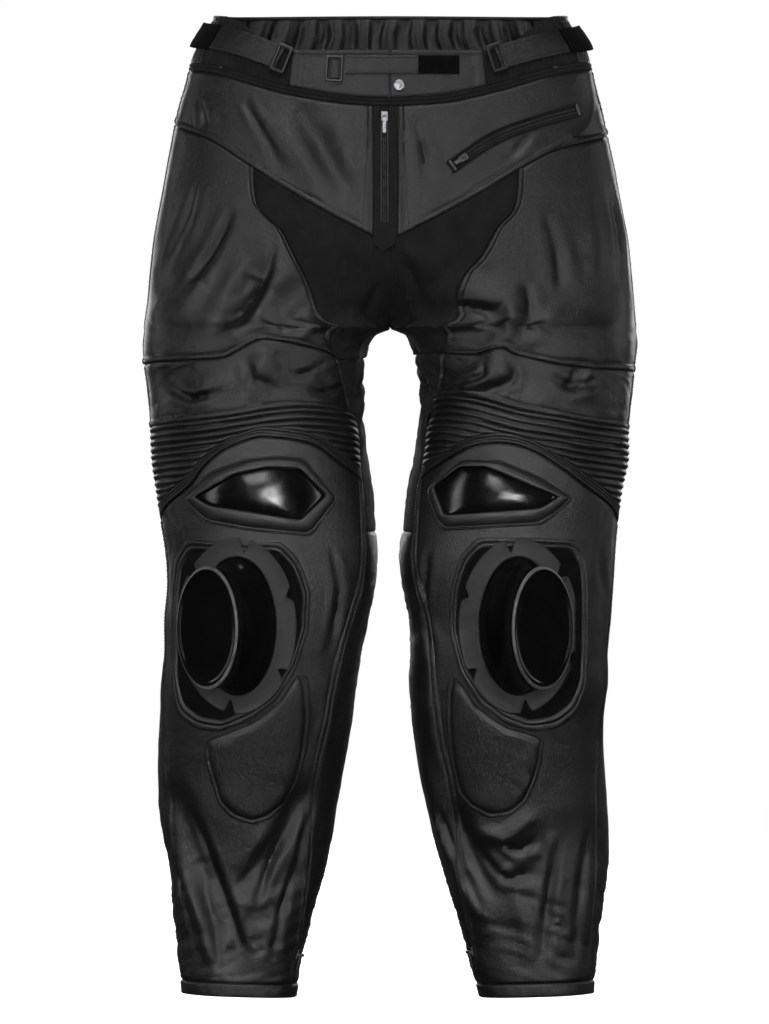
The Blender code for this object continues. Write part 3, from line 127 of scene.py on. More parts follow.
# Smaller creases seen from the front: side, kind, (x, z) path, half width, height.
# Kind r is a ridge and kind c is a crease with shoulders.
FRONT_CREASES = (
    (-1, "c", ((150, -12), (128, -50), (112, -82)), 8, 1.6),
    (-1, "r", ((60, -28), (48, -62), (36, -98)), 9, 1.4),
    (-1, "c", ((196, -10), (188, -40)), 8, 1.2),
    (-1, "c", ((118, -160), (128, -196), (150, -226), (172, -244)), 7, 2.4),
    (-1, "r", ((150, -170), (164, -206), (190, -240)), 11, 1.8),
    (-1, "c", ((160, -120), (178, -160), (205, -200), (228, -232)), 10, 1.8),
    (-1, "c", ((198, -96), (212, -140), (236, -190)), 11, 1.6),
    (-1, "c", ((88, -222), (98, -236), (112, -250)), 6, 1.6),
    (-1, "r", ((72, -236), (84, -250), (102, -258)), 6, 1.2),
    (-1, "c", ((66, -282), (84, -292), (104, -296)), 7, 1.5),
    (-1, "c", ((150, -276), (142, -296), (150, -316)), 8, 1.3),
    (-1, "c", ((178, -312), (204, -318), (230, -306)), 7, 1.7),
    (-1, "r", ((160, -300), (196, -304), (228, -292)), 8, 1.3),
    (-1, "c", ((48, -304), (66, -312), (84, -312)), 6, 1.5),
    (1, "c", ((58, -222), (90, -226), (112, -236), (110, -252)), 7, 2.2),
    (1, "c", ((140, -200), (142, -232), (126, -262)), 9, 1.8),
    (1, "c", ((160, -130), (172, -170), (176, -214)), 12, 1.6),
    (1, "r", ((206, -110), (212, -160), (206, -220)), 14, 1.6),
    (1, "c", ((226, -96), (236, -150), (238, -200)), 11, 1.5),
    (1, "c", ((94, -280), (96, -294), (70, -302)), 6, 1.8),
    (1, "c", ((126, -282), (124, -300), (96, -312)), 8, 1.6),
    (1, "c", ((166, -296), (188, -306), (214, -300)), 8, 1.8),
    (1, "r", ((150, -310), (180, -318), (216, -312)), 8, 1.2),
    (1, "c", ((26, -30), (34, -62), (40, -96)), 8, 1.2),
    (1, "c", ((150, -40), (120, -74)), 9, 1.2),
    (1, "r", ((148, -67), (182, -52), (199, -42), (208, -28), (211, -6)), 3.0, 1.4),
    (-1, "c", ((206, -742), (170, -836), (148, -900)), 8, 2.2),
    (-1, "c", ((236, -760), (212, -830), (196, -900)), 8, 1.6),
    (-1, "c", ((100, -752), (124, -800), (142, -850)), 8, 2.0),
    (-1, "r", ((112, -742), (146, -800), (150, -850)), 10, 1.8),
    (-1, "c", ((98, -800), (112, -846), (122, -900)), 8, 1.6),
    (-1, "c", ((196, -820), (182, -870), (176, -910)), 7, 1.4),
    (-1, "c", ((226, -420), (214, -470), (224, -520)), 9, 1.4),
    (-1, "c", ((60, -470), (52, -520), (62, -580)), 8, 1.6),
    (-1, "r", ((66, -600), (68, -660), (84, -720)), 9, 1.6),
    (-1, "c", ((76, -730), (92, -780), (98, -830)), 8, 1.6),
    (1, "c", ((48, -732), (70, -790), (96, -846)), 8, 2.2),
    (1, "c", ((112, -776), (134, -784), (152, -772)), 7, 2.0),
    (1, "c", ((92, -786), (118, -812), (148, -806)), 9, 2.0),
    (1, "r", ((120, -800), (136, -850), (146, -900)), 10, 1.6),
    (1, "c", ((176, -770), (164, -830), (156, -900)), 9, 1.8),
    (1, "c", ((206, -760), (196, -830), (190, -900)), 9, 1.5),
    (1, "c", ((40, -470), (34, -530), (46, -590)), 8, 1.6),
    (1, "r", ((42, -600), (44, -650), (56, -700)), 9, 1.5),
    (1, "c", ((226, -430), (216, -480), (220, -520)), 9, 1.3),
)

# Creases on the sides and the back: side (0 is both), kind, (u, z) path, half width, height
ROUND_CREASES = (
    (0, "c", ((0.93, -262), (0.84, -250), (0.74, -232)), 9, 2.4),
    (0, "c", ((0.95, -288), (0.86, -284), (0.76, -262)), 9, 2.6),
    (0, "r", ((0.94, -274), (0.85, -266), (0.75, -246)), 10, 1.8),
    (0, "c", ((0.92, -318), (0.82, -318), (0.70, -296)), 10, 2.0),
    (0, "c", ((0.90, -404), (0.80, -418), (0.68, -408)), 9, 2.6),
    (0, "r", ((0.91, -420), (0.80, -434), (0.66, -424)), 9, 2.4),
    (0, "c", ((0.90, -438), (0.80, -450), (0.64, -440)), 9, 3.0),
    (0, "r", ((0.92, -456), (0.80, -470), (0.64, -458)), 9, 2.6),
    (0, "c", ((0.93, -474), (0.82, -488), (0.62, -476)), 9, 3.0),
    (0, "r", ((0.93, -492), (0.80, -506), (0.64, -494)), 9, 2.2),
    (0, "c", ((0.94, -512), (0.82, -524), (0.66, -512)), 9, 2.4),
    (0, "c", ((0.60, -372), (0.56, -400), (0.58, -436)), 10, 1.8),
    (0, "c", ((0.72, -120), (0.80, -160), (0.88, -208)), 13, 2.0),
    (0, "r", ((0.66, -150), (0.74, -200), (0.84, -236)), 14, 2.2),
    (0, "c", ((0.60, -100), (0.62, -170), (0.68, -232)), 12, 1.7),
    (0, "c", ((0.56, -250), (0.62, -300), (0.70, -340)), 11, 1.7),
    (-1, "c", ((0.60, -700), (0.70, -760), (0.80, -800)), 10, 2.2),
    (-1, "r", ((0.58, -740), (0.68, -800), (0.78, -840)), 11, 2.0),
    (-1, "c", ((0.56, -780), (0.66, -840), (0.74, -890)), 9, 2.2),
    (-1, "c", ((0.88, -720), (0.82, -780), (0.76, -850)), 9, 1.8),
    (-1, "c", ((0.96, -800), (0.90, -850), (0.84, -900)), 9, 1.8),
    (1, "c", ((0.60, -720), (0.72, -770), (0.84, -790)), 10, 2.2),
    (1, "r", ((0.58, -750), (0.70, -806), (0.82, -830)), 11, 2.0),
    (1, "c", ((0.56, -800), (0.68, -850), (0.80, -880)), 9, 2.2),
    (1, "c", ((0.90, -700), (0.86, -760), (0.78, -820)), 9, 1.8),
    (1, "c", ((0.96, -780), (0.90, -840), (0.86, -896)), 9, 1.8),
    (0, "c", ((0.62, -560), (0.70, -600), (0.80, -620)), 12, 1.3),
    (0, "r", ((0.60, -620), (0.72, -660), (0.84, -670)), 14, 1.4),
    (0, "c", ((-0.02, -262), (0.03, -290), (0.06, -324)), 8, 3.2),
    (0, "c", ((0.94, -284), (1.00, -312), (1.05, -352)), 10, 2.6),
    (0, "r", ((0.98, -282), (1.03, -318), (1.06, -366)), 9, 2.4),
    (0, "c", ((0.93, -350), (0.98, -384), (1.04, -420)), 9, 2.2),
    (-1, "c", ((0.02, -200), (0.05, -232), (0.08, -262)), 9, 2.4),
    (1, "c", ((0.02, -168), (0.05, -206), (0.07, -250)), 10, 2.8),
    (1, "r", ((0.01, -160), (0.08, -190), (0.10, -226)), 9, 2.2),
)


def smooth_table(rows, heights):
    """Read a table at the heights, with Catmull-Rom slopes between its rows."""
    data = np.array(sorted(rows), dtype=float)
    z = data[:, 0]
    slopes = np.gradient(data, z, axis=0)
    index = np.clip(np.searchsorted(z, heights) - 1, 0, len(z) - 2)
    step = z[index + 1] - z[index]
    t = ((heights - z[index]) / step)[:, None]
    step = step[:, None]
    first, second = data[index], data[index + 1]
    return ((2 * t**3 - 3 * t**2 + 1) * first + (t**3 - 2 * t**2 + t) * step * slopes[index]
            + (3 * t**2 - 2 * t**3) * second + (t**3 - t**2) * step * slopes[index + 1])


HEIGHTS = np.arange(-945.0, TABLE_TOP + 0.1, HEIGHT_STEP)
TURNS = np.linspace(0.0, 1.0, 241)
GIRTH = {}


def power(value):
    return np.sign(value) * np.abs(value) ** ROUND


def build_leg(side):
    """Sections of one leg, evenly spaced round each section: point = (away from the middle, y)."""
    table = smooth_table(SECTIONS, HEIGHTS)
    outer, inner = (table[:, 1], table[:, 2]) if side < 0 else (table[:, 3], table[:, 4])
    mid, front, back = table[:, 5], table[:, 6], table[:, 7]
    inner = np.where(HEIGHTS >= CROTCH, 0.0, np.maximum(inner, 0.0))
    rise = np.clip((HEIGHTS - CROTCH) / RISE, 0.0, 1.0)
    hips = np.sin(0.5 * math.pi * rise ** 0.62)[:, None]
    turn = np.linspace(0.0, 1.0, 1441)[None, :]
    angle = 2 * math.pi * turn
    centre = ((outer + inner) / 2)[:, None]
    half = ((outer - inner) / 2)[:, None]
    leg_x = centre - half * power(np.cos(angle))
    sine = power(np.sin(angle))
    leg_y = mid[:, None] - np.where(sine > 0, front[:, None], back[:, None]) * sine
    arc = math.pi * turn
    hip_x = outer[:, None] * power(np.sin(arc))
    cosine = power(np.cos(arc))
    hip_y = mid[:, None] - np.where(cosine > 0, front[:, None], back[:, None]) * cosine
    x = leg_x * (1 - hips) + hip_x * hips
    y = leg_y * (1 - hips) + hip_y * hips
    points = np.zeros((len(HEIGHTS), len(TURNS), 2))
    girth = np.zeros(len(HEIGHTS))
    for row in range(len(HEIGHTS)):
        length = np.concatenate([[0], np.cumsum(np.hypot(np.diff(x[row]), np.diff(y[row])))])
        girth[row] = length[-1]
        length /= length[-1]
        points[row, :, 0] = np.interp(TURNS, length, x[row])
        points[row, :, 1] = np.interp(TURNS, length, y[row])
    GIRTH[side] = girth
    return points


LEGS = {side: build_leg(side) for side, _ in SIDES}


def girth_at(side, z):
    """Length once round a leg at a height."""
    return np.interp(z, HEIGHTS, GIRTH[side])


def bare_leg(side, u, z):
    """Point of the unfolded surface; u may run past 0 or 1 below the crotch."""
    u, z = np.broadcast_arrays(np.asarray(u, float), np.asarray(z, float))
    u = np.where(u < 0, u + 1, np.where(u > 1, u - 1, u))
    column = np.clip(u * (len(TURNS) - 1), 0, len(TURNS) - 1.001)
    row = np.clip((z - HEIGHTS[0]) / HEIGHT_STEP, 0, len(HEIGHTS) - 1.001)
    i, j = row.astype(int), column.astype(int)
    a, b = (row - i)[..., None], (column - j)[..., None]
    grid = LEGS[side]
    flat = ((1 - a) * ((1 - b) * grid[i, j] + b * grid[i, j + 1])
            + a * ((1 - b) * grid[i + 1, j] + b * grid[i + 1, j + 1]))
    return np.stack([side * flat[..., 0], flat[..., 1], z], axis=-1)


def unit(vector):
    return vector / np.maximum(np.linalg.norm(vector, axis=-1, keepdims=True), 1e-9)


def bare_normal(side, u, z):
    """Outward direction, from differences along the surface that stop at the centre line above the crotch."""
    u, z = np.broadcast_arrays(np.asarray(u, float), np.asarray(z, float))
    low, high = u - 0.008, u + 0.008
    joined = z > CROTCH
    low = np.where(joined, np.maximum(low, 0), low)
    high = np.where(joined, np.minimum(high, 1), high)
    along = bare_leg(side, high, z) - bare_leg(side, low, z)
    up = bare_leg(side, u, np.minimum(z + 5, TABLE_TOP)) - bare_leg(side, u, z - 5)
    return unit(np.cross(along, up) * side)


def path_distance(flat, path):
    """Distance of points from a path, and how far along it from 0 to 1 the nearest place is."""
    path = np.array(path, dtype=float)
    lengths = np.linalg.norm(np.diff(path, axis=0), axis=1)
    whole, start = lengths.sum(), 0.0
    nearest = np.full(flat.shape[:-1], 1e9)
    place = np.zeros(flat.shape[:-1])
    for first, second, length in zip(path[:-1], path[1:], lengths):
        t = np.clip(((flat - first) @ (second - first)) / length**2, 0, 1)
        distance = np.linalg.norm(flat - (first + t[..., None] * (second - first)), axis=-1)
        closer = distance < nearest
        nearest = np.where(closer, distance, nearest)
        place = np.where(closer, (start + t * length) / whole, place)
        start += length
    return nearest, place


def fold_height(side, point, normal):
    """Sum of the main folds at a point; each fades at its ends and round the side of the leg."""
    total = np.zeros(point.shape[:-1])
    facing = np.clip(-normal[..., 1] * 1.6, 0, 1)
    flat = np.stack([side * point[..., 0], point[..., 2]], axis=-1)
    for fold_side, path, width, height in FOLDS:
        if fold_side != side:
            continue
        nearest, place = path_distance(flat, path)
        fade = 0.35 + 0.65 * np.sin(math.pi * np.clip(place, 0, 1)) ** 0.5
        total = total + FOLD_DEPTH * height * fade * np.exp(-(nearest / width) ** 2)
    return total * facing


def leg(side, u, z):
    """Folded surface of the solid: its points and its outward directions."""
    point = bare_leg(side, u, z)
    normal = bare_normal(side, u, z)
    point = point + normal * fold_height(side, point, normal)[..., None]
    point[..., 0] = side * np.maximum(side * point[..., 0], 0.0)
    return point, normal


def turn_at(side, x, z, count=400):
    """u of the point of the front at a distance x from the middle, at height z."""
    u = np.linspace(0.0, 0.5, count)
    across = side * bare_leg(side, u, np.full(count, float(z)))[:, 0]
    across = np.maximum.accumulate(across) + u * 1e-6
    return float(np.interp(x, across, u))


def front_turn(x, z):
    """u of the point of the front at x, on the leg of its side."""
    return turn_at(-1 if x < 0 else 1, abs(x), z)


def to_leg(side, loop):
    """(u, z) of (x, z) points of the front view."""
    return np.array([(turn_at(side, x, z, 300), z) for x, z in loop])


TURN_SPAN = 600.0     # about one turn round a leg in millimetres, to weigh u against z


def spline(points, count, steps=12):
    """Evenly spaced points, count + 1 of them, on a Catmull-Rom curve through (x, z) or (u, z) points."""
    p = np.array(points, dtype=float)
    p = np.vstack([2 * p[0] - p[1], p, 2 * p[-1] - p[-2]])
    fine = []
    for k in range(1, len(p) - 2):
        t = np.linspace(0, 1, steps, endpoint=False)[:, None]
        fine.append(0.5 * (2 * p[k] + (p[k + 1] - p[k - 1]) * t
                           + (2 * p[k - 1] - 5 * p[k] + 4 * p[k + 1] - p[k + 2]) * t**2
                           + (3 * p[k] - p[k - 1] - 3 * p[k + 1] + p[k + 2]) * t**3))
    fine = np.vstack(fine + [p[-2:-1]])
    scale = np.array([TURN_SPAN, 1.0]) if np.max(np.abs(p[:, 0])) < 3 else np.array([1.0, 1.0])
    length = np.concatenate([[0], np.cumsum(np.linalg.norm(np.diff(fine, axis=0) * scale, axis=1))])
    where = np.linspace(0, length[-1], count + 1)
    return np.stack([np.interp(where, length, fine[:, 0]), np.interp(where, length, fine[:, 1])], axis=1)


def mottle(seed, a, b):
    """Smooth unevenness from -1 to 1 over a plane, the same at each run."""
    table = np.random.default_rng(seed).random((64, 64)) * 2 - 1
    i, j = np.floor(a).astype(int), np.floor(b).astype(int)
    f, g = a - i, b - j
    f, g = f * f * (3 - 2 * f), g * g * (3 - 2 * g)
    corner = lambda di, dj: table[(i + di) % 64, (j + dj) % 64]
    return ((1 - f) * (1 - g) * corner(0, 0) + f * (1 - g) * corner(1, 0)
            + (1 - f) * g * corner(0, 1) + f * g * corner(1, 1))


def crease_lines(side):
    """Every small crease of one leg as points in (distance round the leg, z)."""
    lines = []
    for where, kind, path, width, height in FRONT_CREASES:
        if where == side:
            curve = spline(path, 14)
            lines.append((kind, [(turn_at(side, x, z), z) for x, z in curve], width, height))
    for where, kind, path, width, height in ROUND_CREASES:
        if where in (0, side):
            shift = 7.0 * side if where == 0 else 0.0
            lines.append((kind, [(u, z + shift) for u, z in spline(path, 14)], width, height))
    return [(kind, np.array([(u * girth_at(side, z), z) for u, z in path]), width, height)
            for kind, path, width, height in lines]


CREASES = {side: crease_lines(side) for side, _ in SIDES}

# Places where the leather is worn soft: u, z, spread in u and z, height of the small wrinkles
SOFT_PLACES = (
    (0.80, -455, 0.20, 60, 1.3),
    (0.30, -862, 0.40, 60, 1.1),
    (0.75, -850, 0.30, 70, 1.2),
    (0.04, -300, 0.10, 70, 1.3),
    (0.96, -300, 0.10, 70, 1.3),
    (0.42, -300, 0.10, 40, 0.7),
    (0.02, -560, 0.06, 90, 0.9),
)


def crease_height(side, u, z):
    """Sum of the small creases, the soft unevenness between them and the wrinkles of worn places."""
    girth = girth_at(side, z)
    flat = np.stack([u * girth, z], axis=-1)
    total = np.zeros(u.shape)
    for number, (kind, path, width, height) in enumerate(CREASES[side]):
        low, high = path.min(axis=0) - 3.2 * width, path.max(axis=0) + 3.2 * width
        for turn in (-1, 0, 1):
            moved = flat + np.stack([turn * girth, 0 * z], axis=-1)
            near = np.all((moved > low) & (moved < high), axis=-1)
            if turn:
                near &= z < CROTCH
            if not near.any():
                continue
            distance, place = path_distance(moved[near], path)
            wave = 1 + 0.25 * np.sin(9 * place + number) + 0.15 * np.sin(21 * place + 2 * number)
            fade = np.sin(math.pi * np.clip(place, 0, 1)) ** 0.6 * wave
            wide = width * (0.85 + 0.3 * place)
            if kind == "r":
                shape = np.exp(-(distance / wide) ** 2)
            else:
                shape = (0.45 * np.exp(-((distance - 1.1 * wide) / (0.6 * wide)) ** 2)
                         - np.exp(-(distance / (0.45 * wide)) ** 2))
            total[near] += CREASE_DEPTH * height * fade * shape
    across, down = flat[..., 0], flat[..., 1]
    warp = 14 * mottle(3, across / 45, down / 45)
    total += 0.9 * mottle(5 + side, (across + warp) / 38, (down - warp) / 52)
    total += 0.30 * mottle(9 + side, (across - down * 0.4) / 15, (down + 0.5 * warp) / 11)
    fine = 1 - 2 * np.abs(mottle(20 + side, (across * 0.45 + warp) / 16, (down + 0.35 * across) / 7.5))
    for place, height, wide, tall, strength in SOFT_PLACES:
        turn = np.abs((u - place + 0.5) % 1.0 - 0.5)
        share = np.exp(-(turn / wide) ** 2 - ((z - height) / tall) ** 2)
        total += strength * share * (fine - 0.3)
    return total


# Inner seam, as a distance in from the inner edge of the leg: z, distance
INNER_SEAM = ((-262, 34), (-300, 18), (-335, 6), (-400, 9), (-455, 12), (-500, 14), (-600, 22), (-711, 28),
              (-772, 23), (-834, 13), (-886, 6), (-926, 4))
# Outer seam: z, u
OUTER_SEAM = ((36, 0.5), (-200, 0.5), (-445, 0.5), (-520, 0.49), (-600, 0.475), (-680, 0.45), (-744, 0.43),
              (-800, 0.43), (-926, 0.44))
BACK_SEAM = 0.92      # u of the seam behind the inside of the thigh
FLY = {-1: 17, 1: 8}  # edges of the fly either side of the middle

# Seams seen from the front, each side with its own points (x, z), from the middle outwards
FRONT_SEAMS = {
    -1: {
        "waist": ((0, -18), (17, -18), (60, -14), (113, -4), (155, 9), (188, 19)),
        "yoke": ((17, -152), (52, -134), (93, -111), (140, -81)),
        "yoke_side": ((140, -81), (190, -49), (220, -31)),
        "crotch": ((140, -81), (139, -104), (135, -122), (122, -137), (111, -147), (98, -172), (82, -206),
                   (72, -232), (62, -258), (52, -279)),
        "thigh": ((52, -279), (65, -270), (100, -262), (124, -258), (139, -260), (160, -272), (183, -278),
                  (225, -282)),
        "rib_top": ((33, -335), (60, -329), (93, -327), (124, -330), (185, -339), (225, -348)),
        "arch": ((33, -402), (52, -384), (80, -365), (124, -358), (144, -360), (170, -371), (190, -387),
                 (211, -412), (226, -430)),
    },
    1: {
        "waist": ((0, -18), (8, -18), (60, -14), (113, -2), (155, 11), (190, 20)),
        "yoke": ((8, -152), (50, -131), (93, -107), (132, -83)),
        "yoke_side": ((132, -83), (175, -61), (222, -43)),
        "crotch": ((132, -83), (130, -113), (124, -129), (110, -144), (92, -175), (77, -191), (68, -216),
                   (63, -240), (57, -261), (50, -271)),
        "thigh": ((50, -271), (85, -273), (103, -268), (119, -268), (134, -275), (194, -286), (232, -290)),
        "rib_top": ((35, -318), (62, -314), (93, -319), (134, -330), (175, -337), (216, -344), (230, -350)),
        "arch": ((33, -402), (47, -388), (62, -378), (82, -368), (113, -364), (144, -371), (175, -389),
                 (206, -412), (222, -432)),
    },
}
COLUMNS = SimpleNamespace(fly=1, crotch=3, side=10, back=8, inner=4)
ROWS = SimpleNamespace(yoke=4, thigh=9, lower=3, ribs=3, upper_shin=2, shin=12)


def on_leg(side, front_points, start=None, end=None):
    """Turn (x, z) points of the front view into (u, z), with given (u, z) ends where they leave the front."""
    points = [(turn_at(side, x, z), z) for x, z in front_points]
    if start is not None:
        points.insert(0, start)
    if end is not None:
        points.append(end)
    return points


def join(*curves):
    """One curve from curves that meet end to end."""
    return np.vstack([curves[0]] + [curve[1:] for curve in curves[1:]])


def straight(first, last, count):
    return np.linspace(first, last, count * FINE + 1)


def seam_net(side):
    """Every seam of one leg as closely spaced (u, z) points, shared by the panels that meet there."""
    inner_edge = lambda z: side * float(bare_leg(side, 0.0, z)[0])
    inner = [(turn_at(side, inner_edge(z) + offset, z), z) for z, offset in INNER_SEAM]
    inner_u = lambda z: float(np.interp(-z, [-p[1] for p in inner], [p[0] for p in inner]))
    outer_u = lambda z: float(np.interp(-z, [-p[0] for p in OUTER_SEAM], [p[1] for p in OUTER_SEAM]))
    front = FRONT_SEAMS[side]
    net = SimpleNamespace()

    def inner_run(top, bottom, count):
        return np.array([(inner_u(z), z) for z in straight(top, bottom, count)])

    def outer_run(top, bottom, count):
        return np.array([(outer_u(z), z) for z in straight(top, bottom, count)])

    waist = on_leg(side, front["waist"], end=(0.5, 23))
    net.waist = join(straight(waist[0], waist[1], 1),
                     spline(waist[1:], (COLUMNS.crotch + COLUMNS.side) * FINE))
    net.waist_back = spline([(0.5, 23), (0.62, 30), (0.8, 34), (1.0, 35)], COLUMNS.back * FINE)
    net.fly = np.array([(turn_at(side, FLY[side], z), z) for z in straight(-18, -152, ROWS.yoke)])
    net.fly_end = straight((0.0, -152), (turn_at(side, FLY[side], -152), -152), 1)
    net.yoke = spline(on_leg(side, front["yoke"]), COLUMNS.crotch * FINE)
    yoke_side = on_leg(side, front["yoke_side"][:-1], end=(0.5, front["yoke_side"][-1][1]))
    net.yoke_side = spline(yoke_side, COLUMNS.side * FINE)
    net.crotch = spline(on_leg(side, front["crotch"]), ROWS.thigh * FINE)
    thigh = on_leg(side, front["thigh"][:-1], end=(0.5, front["thigh"][-1][1]))
    net.thigh = spline(thigh, COLUMNS.side * FINE)
    corner = net.thigh[0]
    net.crotch_end = straight((BACK_SEAM - 1, -272), corner, COLUMNS.crotch + COLUMNS.fly)
    net.crotch_middle = np.array([(0.0, z) for z in straight(-152, CROTCH, ROWS.thigh - 2)])
    net.crotch_back = join(straight((0.0, CROTCH), (-0.035, -257), 1),
                           straight((-0.035, -257), (BACK_SEAM - 1, -272), 1))
    rib_top = front["rib_top"]
    net.inner_top = straight(corner, (inner_u(rib_top[0][1]), rib_top[0][1]), ROWS.lower)
    net.inner_ribs = inner_run(rib_top[0][1], -402, ROWS.ribs)
    net.inner_knee = inner_run(-402, -455, ROWS.upper_shin)
    net.inner_shin = inner_run(-455, -925, ROWS.shin)
    ends = (front["yoke_side"][-1][1], front["thigh"][-1][1], rib_top[-1][1], front["arch"][-1][1] - 14)
    net.outer_yoke = outer_run(23, ends[0], ROWS.yoke)
    net.outer_thigh = outer_run(ends[0], ends[1], ROWS.thigh)
    net.outer_lower = outer_run(ends[1], ends[2], ROWS.lower)
    net.outer_ribs = outer_run(ends[2], ends[3], ROWS.ribs)
    net.outer_knee = outer_run(ends[3], ends[3] - 40, ROWS.upper_shin)
    net.outer_shin = outer_run(ends[3] - 40, -921, ROWS.shin)
    top = [tuple(net.inner_ribs[0])] + on_leg(side, rib_top[1:-1], end=tuple(net.outer_ribs[0]))
    net.rib_top = spline(top, COLUMNS.side * FINE)
    arch = [tuple(net.inner_ribs[-1])] + on_leg(side, front["arch"][1:-1], end=tuple(net.outer_ribs[-1]))
    net.arch = spline(arch, COLUMNS.side * FINE)
    net.middle_back = np.array([(1.0, z) for z in straight(35, CROTCH, 11)])
    net.inside_back = np.array([(BACK_SEAM, z) for z in straight(-272, -455, 8)])
    net.knee_back = spline([tuple(net.outer_shin[0]), (0.7, -468), (BACK_SEAM, -455)], COLUMNS.back * FINE)
    net.inside_end = straight((BACK_SEAM, -455), (1 + net.inner_shin[0][0], -455), COLUMNS.inner)
    net.hem_front = straight(net.inner_shin[-1], net.outer_shin[-1], COLUMNS.side)
    net.hem_back = straight(net.outer_shin[-1], net.inner_shin[-1] + (1, 0), COLUMNS.back + COLUMNS.inner)
    return net


NETS = {side: seam_net(side) for side, _ in SIDES}


def at(curve, places):
    """Points of a seam at places from 0 to 1 along it."""
    index = places * (len(curve) - 1)
    return np.stack([np.interp(index, np.arange(len(curve)), curve[:, k]) for k in (0, 1)], axis=1)


def between(seams, across, up):
    """Grid of (u, z) points between four seams; the left and right seams run from the top down."""
    bottom, top, left, right = seams
    low, high = at(bottom, across), at(top, across)
    left, right = at(left[::-1], up), at(right[::-1], up)
    a, b = across[None, :, None], up[:, None, None]
    ruled = (1 - b) * low[None] + b * high[None] + (1 - a) * left[:, None] + a * right[:, None]
    corners = ((1 - a) * (1 - b) * low[0] + a * (1 - b) * low[-1] + (1 - a) * b * high[0] + a * b * high[-1])
    return ruled - corners


NEAR = np.array([0, 0.7, 1.8, 3.2, 5.0, 6.0, 7.2, 9.0])      # where the grid lines beside a seam lie
INNER_ROW, OUTER_ROW = 2, 4                                  # the ones that carry the stitches


def stations(length, spacing):
    """Places from 0 to 1 across a panel: close together beside its two edges, even between them."""
    near = NEAR / length
    count = max(2, int(round((length - 2 * NEAR[-1]) / spacing)))
    middle = np.linspace(near[-1], 1 - near[-1], count + 1)
    return np.concatenate([near[:-1], middle, 1 - near[-2::-1]])


def run_lengths(points, axis):
    """Distance of each grid point from the first line of the grid, along the surface."""
    steps = np.linalg.norm(np.diff(points, axis=axis), axis=-1)
    total = np.cumsum(steps, axis=axis)
    pad = np.zeros_like(np.take(total, [0], axis=axis))
    return np.concatenate([pad, total], axis=axis)


def border_distances(points):
    """Distance of each grid point from the left, right, bottom and top edge of its grid."""
    from_left, from_bottom = run_lengths(points, 1), run_lengths(points, 0)
    return from_left, from_left[:, -1:] - from_left, from_bottom, from_bottom[-1:] - from_bottom


def grid_line(letter, row=0, ends=0):
    """Index of the grid line that lies row lines in from the edge b, t, l or r, less points at its ends."""
    along = slice(ends, -ends or None)
    place = row if letter in "bl" else -1 - row
    return (place, along) if letter in "bt" else (along, place)


def seam_relief(kind, away, along):
    """Height of the cloth beside a seam: away is the distance from the seam, along the distance on it."""
    if kind == "tuck":
        return -1.3 * np.exp(-(away / 1.8) ** 2)
    if kind == "soft":
        return -0.8 * np.exp(-(away / 1.3) ** 2)
    if kind == "lap":
        wave = np.sin(2 * math.pi * along / 6.2 + 2.2 * mottle(31, along / 24, along * 0))
        ridge = 0.85 / (1 + np.exp(np.clip((away - 5.9) / 0.3, -40, 40)))
        return (ridge + 0.25 * np.exp(-((away - 3.2) / 1.4) ** 2) - 0.7 * np.exp(-(away / 0.7) ** 2)
                - 0.55 * np.exp(-((away - 6.8) / 0.9) ** 2)
                + 0.34 * wave * np.exp(-((away - 7.5) / 5.5) ** 2))
    return np.zeros_like(away)


def inset(points, normals, edges):
    """Draw the edges of a grid in by SEAM, square to each edge; edges is a choice of b, t, l and r."""
    moved = points.copy()
    for letter in edges:
        line = grid_line(letter)
        edge, inside, normal = points[line], points[grid_line(letter, 1)], normals[line]
        along = unit(np.gradient(edge, axis=0))
        inward = unit(np.cross(normal, along))
        sign = np.sign(np.sum(inward * (inside - edge), axis=-1, keepdims=True))
        moved[line] += inward * sign * SEAM
    return moved


def keep_off_middle(side, point):
    """Hold a leg's points on its own side of the middle."""
    point = point.copy()
    point[..., 0] = side * np.maximum(side * point[..., 0], SEAM)
    return point


def dress(name, mesh, materials, node, smooth):
    """Make a piece of a mesh with its materials, sharp edges and body, in place of its CAD node."""
    for key in materials:
        mesh.materials.append(MATERIALS[key])
    mesh.shade_smooth()
    mesh.set_sharp_from_angle(angle=math.radians(smooth))
    piece = bpy.data.objects.new(name, mesh)
    bpy.context.scene.collection.objects.link(piece)
    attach(piece, "trousers")
    if node:
        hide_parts(node)
    return piece


def new_piece(name, bm, materials, node, smooth=40):
    """Finish a mesh that was modelled in millimetres; node is the CAD node that it stands for."""
    bmesh.ops.recalc_face_normals(bm, faces=bm.faces[:])
    bmesh.ops.scale(bm, vec=(MM, MM, MM), verts=bm.verts[:])
    mesh = bpy.data.meshes.new(name)
    bm.to_mesh(mesh)
    bm.free()
    return dress(name, mesh, materials, node, smooth)


def grid_wall(bm, outer, inner):
    """Closed wall from a grid of outer points and one of inner points; its inside takes material 1."""
    rows, columns = outer.shape[:2]
    mark = bm.verts.layers.int.get("point") or bm.verts.layers.int.new("point")
    made = bmesh.ops.create_grid(bm, x_segments=columns - 1, y_segments=rows - 1, size=1)["verts"]
    places, insides = outer.reshape(-1, 3).tolist(), inner.reshape(-1, 3).tolist()
    for index, vert in enumerate(made):
        vert[mark] = index
        vert.co = places[index]
    faces = list({face for vert in made for face in vert.link_faces})
    extruded = bmesh.ops.extrude_face_region(bm, geom=faces)["geom"]
    for item in extruded:
        if isinstance(item, bmesh.types.BMVert):
            item.co = insides[item[mark]]
        elif isinstance(item, bmesh.types.BMFace):
            item.material_index = 1


